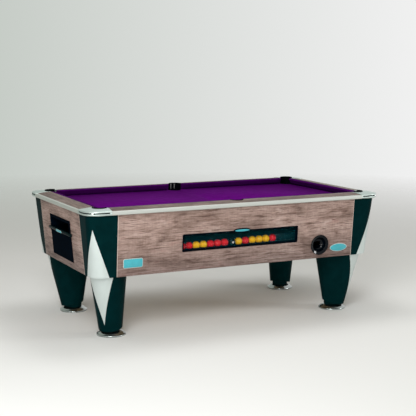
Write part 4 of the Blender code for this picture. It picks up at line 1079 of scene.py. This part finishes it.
gutter = [(-wide, GUTTER_H), (-wide, -GUTTER_T), (wide, -GUTTER_T), (wide, GUTTER_H),
          (half, GUTTER_H), (half, 0.0), (-half, 0.0), (-half, GUTTER_H)]
back_y = front(CUP_X, CUP_Z, 0.0).y + CUP_DEPTH
feed = [[Vector((CUP_X + a, y, floor_z + b)) for a, b in gutter]
        for y, floor_z in ((-TROUGH_Y + CUE_R + ROW_CLEAR, cup_floor + GUTTER_FALL),
                           (back_y + CUP_CLEAR, cup_floor))]
piece("cue_ball_gutter", [skin(feed)], black_moulding)
print("cup opened at the back, with its gutter")

# %% [markdown]
# ## Hopper
# At the head end the paid-for balls roll into a black hopper with a proud rim. Its solid already
# has the pocket, the sill and the rim, so it stays, with its edges rounded and a moulded black
# finish. A rounded bar over the sill is skinned from one section that shrinks at both ends.

# %% Hopper
dress("hopper", black_moulding, 0.0016)
SILL_Z, SILL_HALF, SILL_OUT, SILL_ROOT = 0.619, 0.213, 0.0165, 0.001
sill_section = [(-0.0095, SILL_ROOT), (-0.0095, 0.010), (-0.0070, 0.0145), (-0.0030, 0.0162),
                (0.0, SILL_OUT), (0.0035, 0.0162), (0.0072, 0.0145), (0.0095, 0.0105), (0.0095, SILL_ROOT)]
sill_half = [(0.970, 1.0), (0.985, 0.95), (0.996, 0.80), (1.0, 0.55)]
sill = []
for along, share in [(-along, share) for along, share in reversed(sill_half)] + sill_half:
    sill.append([head_end(along * SILL_HALF, SILL_Z + share * up, max(share * out, SILL_ROOT))
                 for up, out in sill_section])
piece("hopper_sill_bar", [skin(sill)], satin_black)
print("hopper dressed, with its sill bar")

# %% [markdown]
# ## Enamelled plates
# Small plain plates sit on the window frame, on the hopper and at both ends of the front panel.
# Each is teal enamel in a thin metal rim, but the one on the window frame has no rim of its own and
# sits on the frame's raised oval. Painting them on would be easy, but a real plate casts a thin line
# of shadow. A plate is a flat dome, and the enamel sits in the rim a hair above it.

# %% Plates
def plate(name, place, middle, shape, rim=0.0035, base=0.0):
    """A metal plate with an enamelled face, on a leaning face."""
    metal = [(0.0, base - 0.0005), (0.0, base + 0.0012), (0.0006, base + 0.0018), (0.0016, base + 0.0020)]
    enamel = [(rim, base + 0.0015), (rim, base + 0.0022), (rim + 0.0006, base + 0.0025)]
    piece(name + "_rim", [plate_shell(place, middle, metal, shape)], cast_silver)
    piece(name + "_face", [plate_shell(place, middle, enamel, shape)], teal_enamel)


plate("foot_end_plate", front, (0.745, 0.4625), lambda inset: oval_loop(0.0665 - inset, 0.0275 - inset))
plate("head_end_plate", front, (-0.745, 0.480),
      lambda inset: rounded_loop(0.065 - inset, 0.030 - inset, 0.012 - inset))
window_enamel = [(0.0075, 0.0055), (0.0075, 0.0066), (0.0083, 0.0070)]
piece("window_plate", [plate_shell(front, (0.0, BOSS_Z), window_enamel, boss_shape)], teal_enamel)
plate("hopper_plate", head_end, (0.0, SILL_Z),
      lambda inset: rounded_loop(0.053 - inset, 0.0076 - inset, 0.0072 - inset), 0.0012, SILL_OUT)
print("plates: two on the front, one on the window frame, one on the hopper")

# %% [markdown]
# ## Coin slide, lock and screws on the back
# This side is seldom looked at, but the coins go in here: a metal plate with a slide that takes the
# coins and pushes the gate open, and below it the cash box with its lock. The solids stay. Screws
# and coin slots are added as small turned and skinned shells, each on the body it moves with. The
# black shells across the screws' heads and on the slide's top are painted shade, standing for the
# screws' grooves and the coin slots.

# %% Back fittings
dress("coin_plate", sheet_steel, 0.0010)
dress("coin_slide", chrome, 0.0008)
dress("cash_lock", chrome, 0.0006)
COIN_X, COIN_Z, SCREW_X, SCREW_Z, PLATE_FACE = -0.461, 0.630, 0.050, 0.045, 0.0043
back_way = Vector((0, 1, -LEAN / (BED - CABINET_LOW))).normalized()
screw_profile = [(0.0030, -0.0004), (0.0046, 0.0), (0.0046, 0.0007), (0.0038, 0.0017), (0.0022, 0.0023),
                 (0.0003, 0.0025)]
groove_loop = rounded_loop(0.0036, 0.0005, 0.0004, 3)
for i, (dx, dz) in enumerate(((-1, -1), (-1, 1), (1, -1), (1, 1))):
    x, z = COIN_X + dx * SCREW_X, COIN_Z + dz * SCREW_Z
    screw = turned(screw_profile, back(x, z, PLATE_FACE), back_way, 24)
    piece("plate_screw_{}".format(i + 1), [screw], chrome)
    # A black shell across the screw's head: painted shade standing for its groove
    groove = skin([[back(x + a, z + b, out) for a, b in groove_loop] for out in (0.0050, 0.0069)])
    piece("plate_screw_{}_groove".format(i + 1), [groove], pocket_black)
SLIDE_TOP, SLOT_Y, SLOT_STEP = COIN_Z + 0.008, back(COIN_X, COIN_Z, 0.0).y + 0.0135, 0.013
slot_loop = rounded_loop(0.0014, 0.0115, 0.0013, 4)
for i in range(3):
    x = COIN_X + SLOT_STEP * (i - 1)
    # Black shells on the slide's top: painted shade standing for the coin slots
    slot = skin([[Vector((x + a, SLOT_Y + b, z)) for a, b in slot_loop]
                 for z in (SLIDE_TOP - 0.0005, SLIDE_TOP + 0.0002)])
    piece("coin_slot_{}".format(i + 1), [slot], pocket_black, "coin_slide")

# %% [markdown]
# ## Floor, light and camera
# The table stands on a plain pale floor that fades into the pale surroundings with distance, so no
# edge shows from any side. The surroundings grow paler from left to right where the camera, metal
# and glass see them, and are a weaker, warmer light for the rest. Five soft area lights model the
# forms: a large one from the front left, and weak ones from the top, from the right, and low from
# the front and the left. The camera stands where the photograph was taken from.

# %% Floor
FLOOR_HALF, FADE_FROM, FADE_TO = 40.0, 2.5, 9.0
floor_mesh = bpy.data.meshes.new("studio_floor")
floor_mesh.from_pydata([(sx * FLOOR_HALF, sy * FLOOR_HALF, 0) for sx, sy in
                        ((-1, -1), (1, -1), (1, 1), (-1, 1))], [], [(0, 1, 2, 3)])
floor = bpy.data.objects.new("studio_floor", floor_mesh)
bpy.context.scene.collection.objects.link(floor)
floor_paint, tree, surface = finish("studio_floor", (0.85, 0.86, 0.85), 0.75, Specular_IOR_Level=0.1)
distance = tree.nodes.new("ShaderNodeVectorMath")
distance.operation = "LENGTH"
tree.links.new(place_in(tree), distance.inputs[0])
fade = grey_range(tree, distance.outputs["Value"], 0.0, 1.0, FADE_FROM, FADE_TO)
clear = tree.nodes.new("ShaderNodeBsdfTransparent")
mix = tree.nodes.new("ShaderNodeMixShader")
tree.links.new(fade, mix.inputs["Fac"])
tree.links.new(surface.outputs["BSDF"], mix.inputs[1])
tree.links.new(clear.outputs["BSDF"], mix.inputs[2])
tree.links.new(mix.outputs["Shader"], tree.nodes["Material Output"].inputs["Surface"])
floor_mesh.materials.append(floor_paint)
print("floor fades between", FADE_FROM, "and", FADE_TO, "metres")

# %% Surroundings
world = bpy.data.worlds.new("studio")
bpy.context.scene.world = world
world.use_nodes = True
tree = world.node_tree
sky = tree.nodes["Background"]
sky.inputs["Color"].default_value = (0.86, 0.84, 0.77, 1.0)
sky.inputs["Strength"].default_value = 0.46
seen = tree.nodes.new("ShaderNodeBackground")
seen.inputs["Strength"].default_value = 1.0
coordinates = tree.nodes.new("ShaderNodeTexCoord")
sideways = tree.nodes.new("ShaderNodeVectorMath")
sideways.operation = "DOT_PRODUCT"
sideways.inputs[1].default_value = (0.895, -0.446, 0.0)
tree.links.new(coordinates.outputs["Generated"], sideways.inputs[0])
across = grey_range(tree, sideways.outputs["Value"], 0.0, 1.0, -0.22, 0.22)
tones = ramp(tree, across, [(0.0, (0.55, 0.59, 0.55)), (1.0, (0.89, 0.89, 0.89))])
tree.links.new(tones, seen.inputs["Color"])
path = tree.nodes.new("ShaderNodeLightPath")
any_ray = path.outputs["Is Camera Ray"]
for ray in ("Is Glossy Ray", "Is Transmission Ray"):
    either = tree.nodes.new("ShaderNodeMath")
    either.operation = "MAXIMUM"
    tree.links.new(any_ray, either.inputs[0])
    tree.links.new(path.outputs[ray], either.inputs[1])
    any_ray = either.outputs["Value"]
choose = tree.nodes.new("ShaderNodeMixShader")
tree.links.new(any_ray, choose.inputs["Fac"])
tree.links.new(sky.outputs["Background"], choose.inputs[1])
tree.links.new(seen.outputs["Background"], choose.inputs[2])
tree.links.new(choose.outputs["Shader"], tree.nodes["World Output"].inputs["Surface"])
print("surroundings made")


# %% Studio light
def area_light(name, at, aim, size, power):
    """A soft rectangular light that points at a place."""
    light = bpy.data.lights.new(name, "AREA")
    light.shape = "RECTANGLE"
    light.size, light.size_y = size
    light.energy = power
    stand = bpy.data.objects.new(name, light)
    stand.location = at
    stand.rotation_euler = (Vector(aim) - Vector(at)).to_track_quat("-Z", "Y").to_euler()
    bpy.context.scene.collection.objects.link(stand)


area_light("key", (-3.0, -4.2, 3.4), (0.0, 0.0, 0.6), (2.2, 2.2), 164.0)
area_light("top", (0.2, 0.2, 3.4), (0.0, 0.0, 0.8), (1.6, 1.0), 30.0)
area_light("right_fill", (4.0, -2.5, 1.3), (0.0, 0.0, 0.5), (0.75, 0.65), 42.0)
area_light("low_front", (-2.6, -4.3, 0.55), (0.2, -0.5, 0.57), (1.6, 0.5), 43.0)
area_light("left_low", (-3.4, -1.8, 0.38), (-1.0, -0.55, 0.65), (0.5, 0.5), 10.0)
print("area lights:", len(bpy.data.lights))

# %% Camera
AZIMUTH, ELEVATION, ROLL = (math.radians(a) for a in (-26.489, 8.055, 0.142))
camera = bpy.data.cameras.new("camera")
camera.sensor_width = 36.0
camera.lens = 88.912
eye = bpy.data.objects.new("camera", camera)
eye.location = (-3.08046, -6.24940, 1.69096)
aim = (Matrix.Rotation(AZIMUTH, 3, "Z") @ Matrix.Rotation(math.pi / 2 - ELEVATION, 3, "X")
       @ Matrix.Rotation(ROLL, 3, "Z"))
eye.rotation_euler = aim.to_euler()
bpy.context.scene.collection.objects.link(eye)
bpy.context.scene.camera = eye
bpy.context.scene.view_settings.view_transform = "Standard"
print("camera at", tuple(round(v, 2) for v in eye.location))
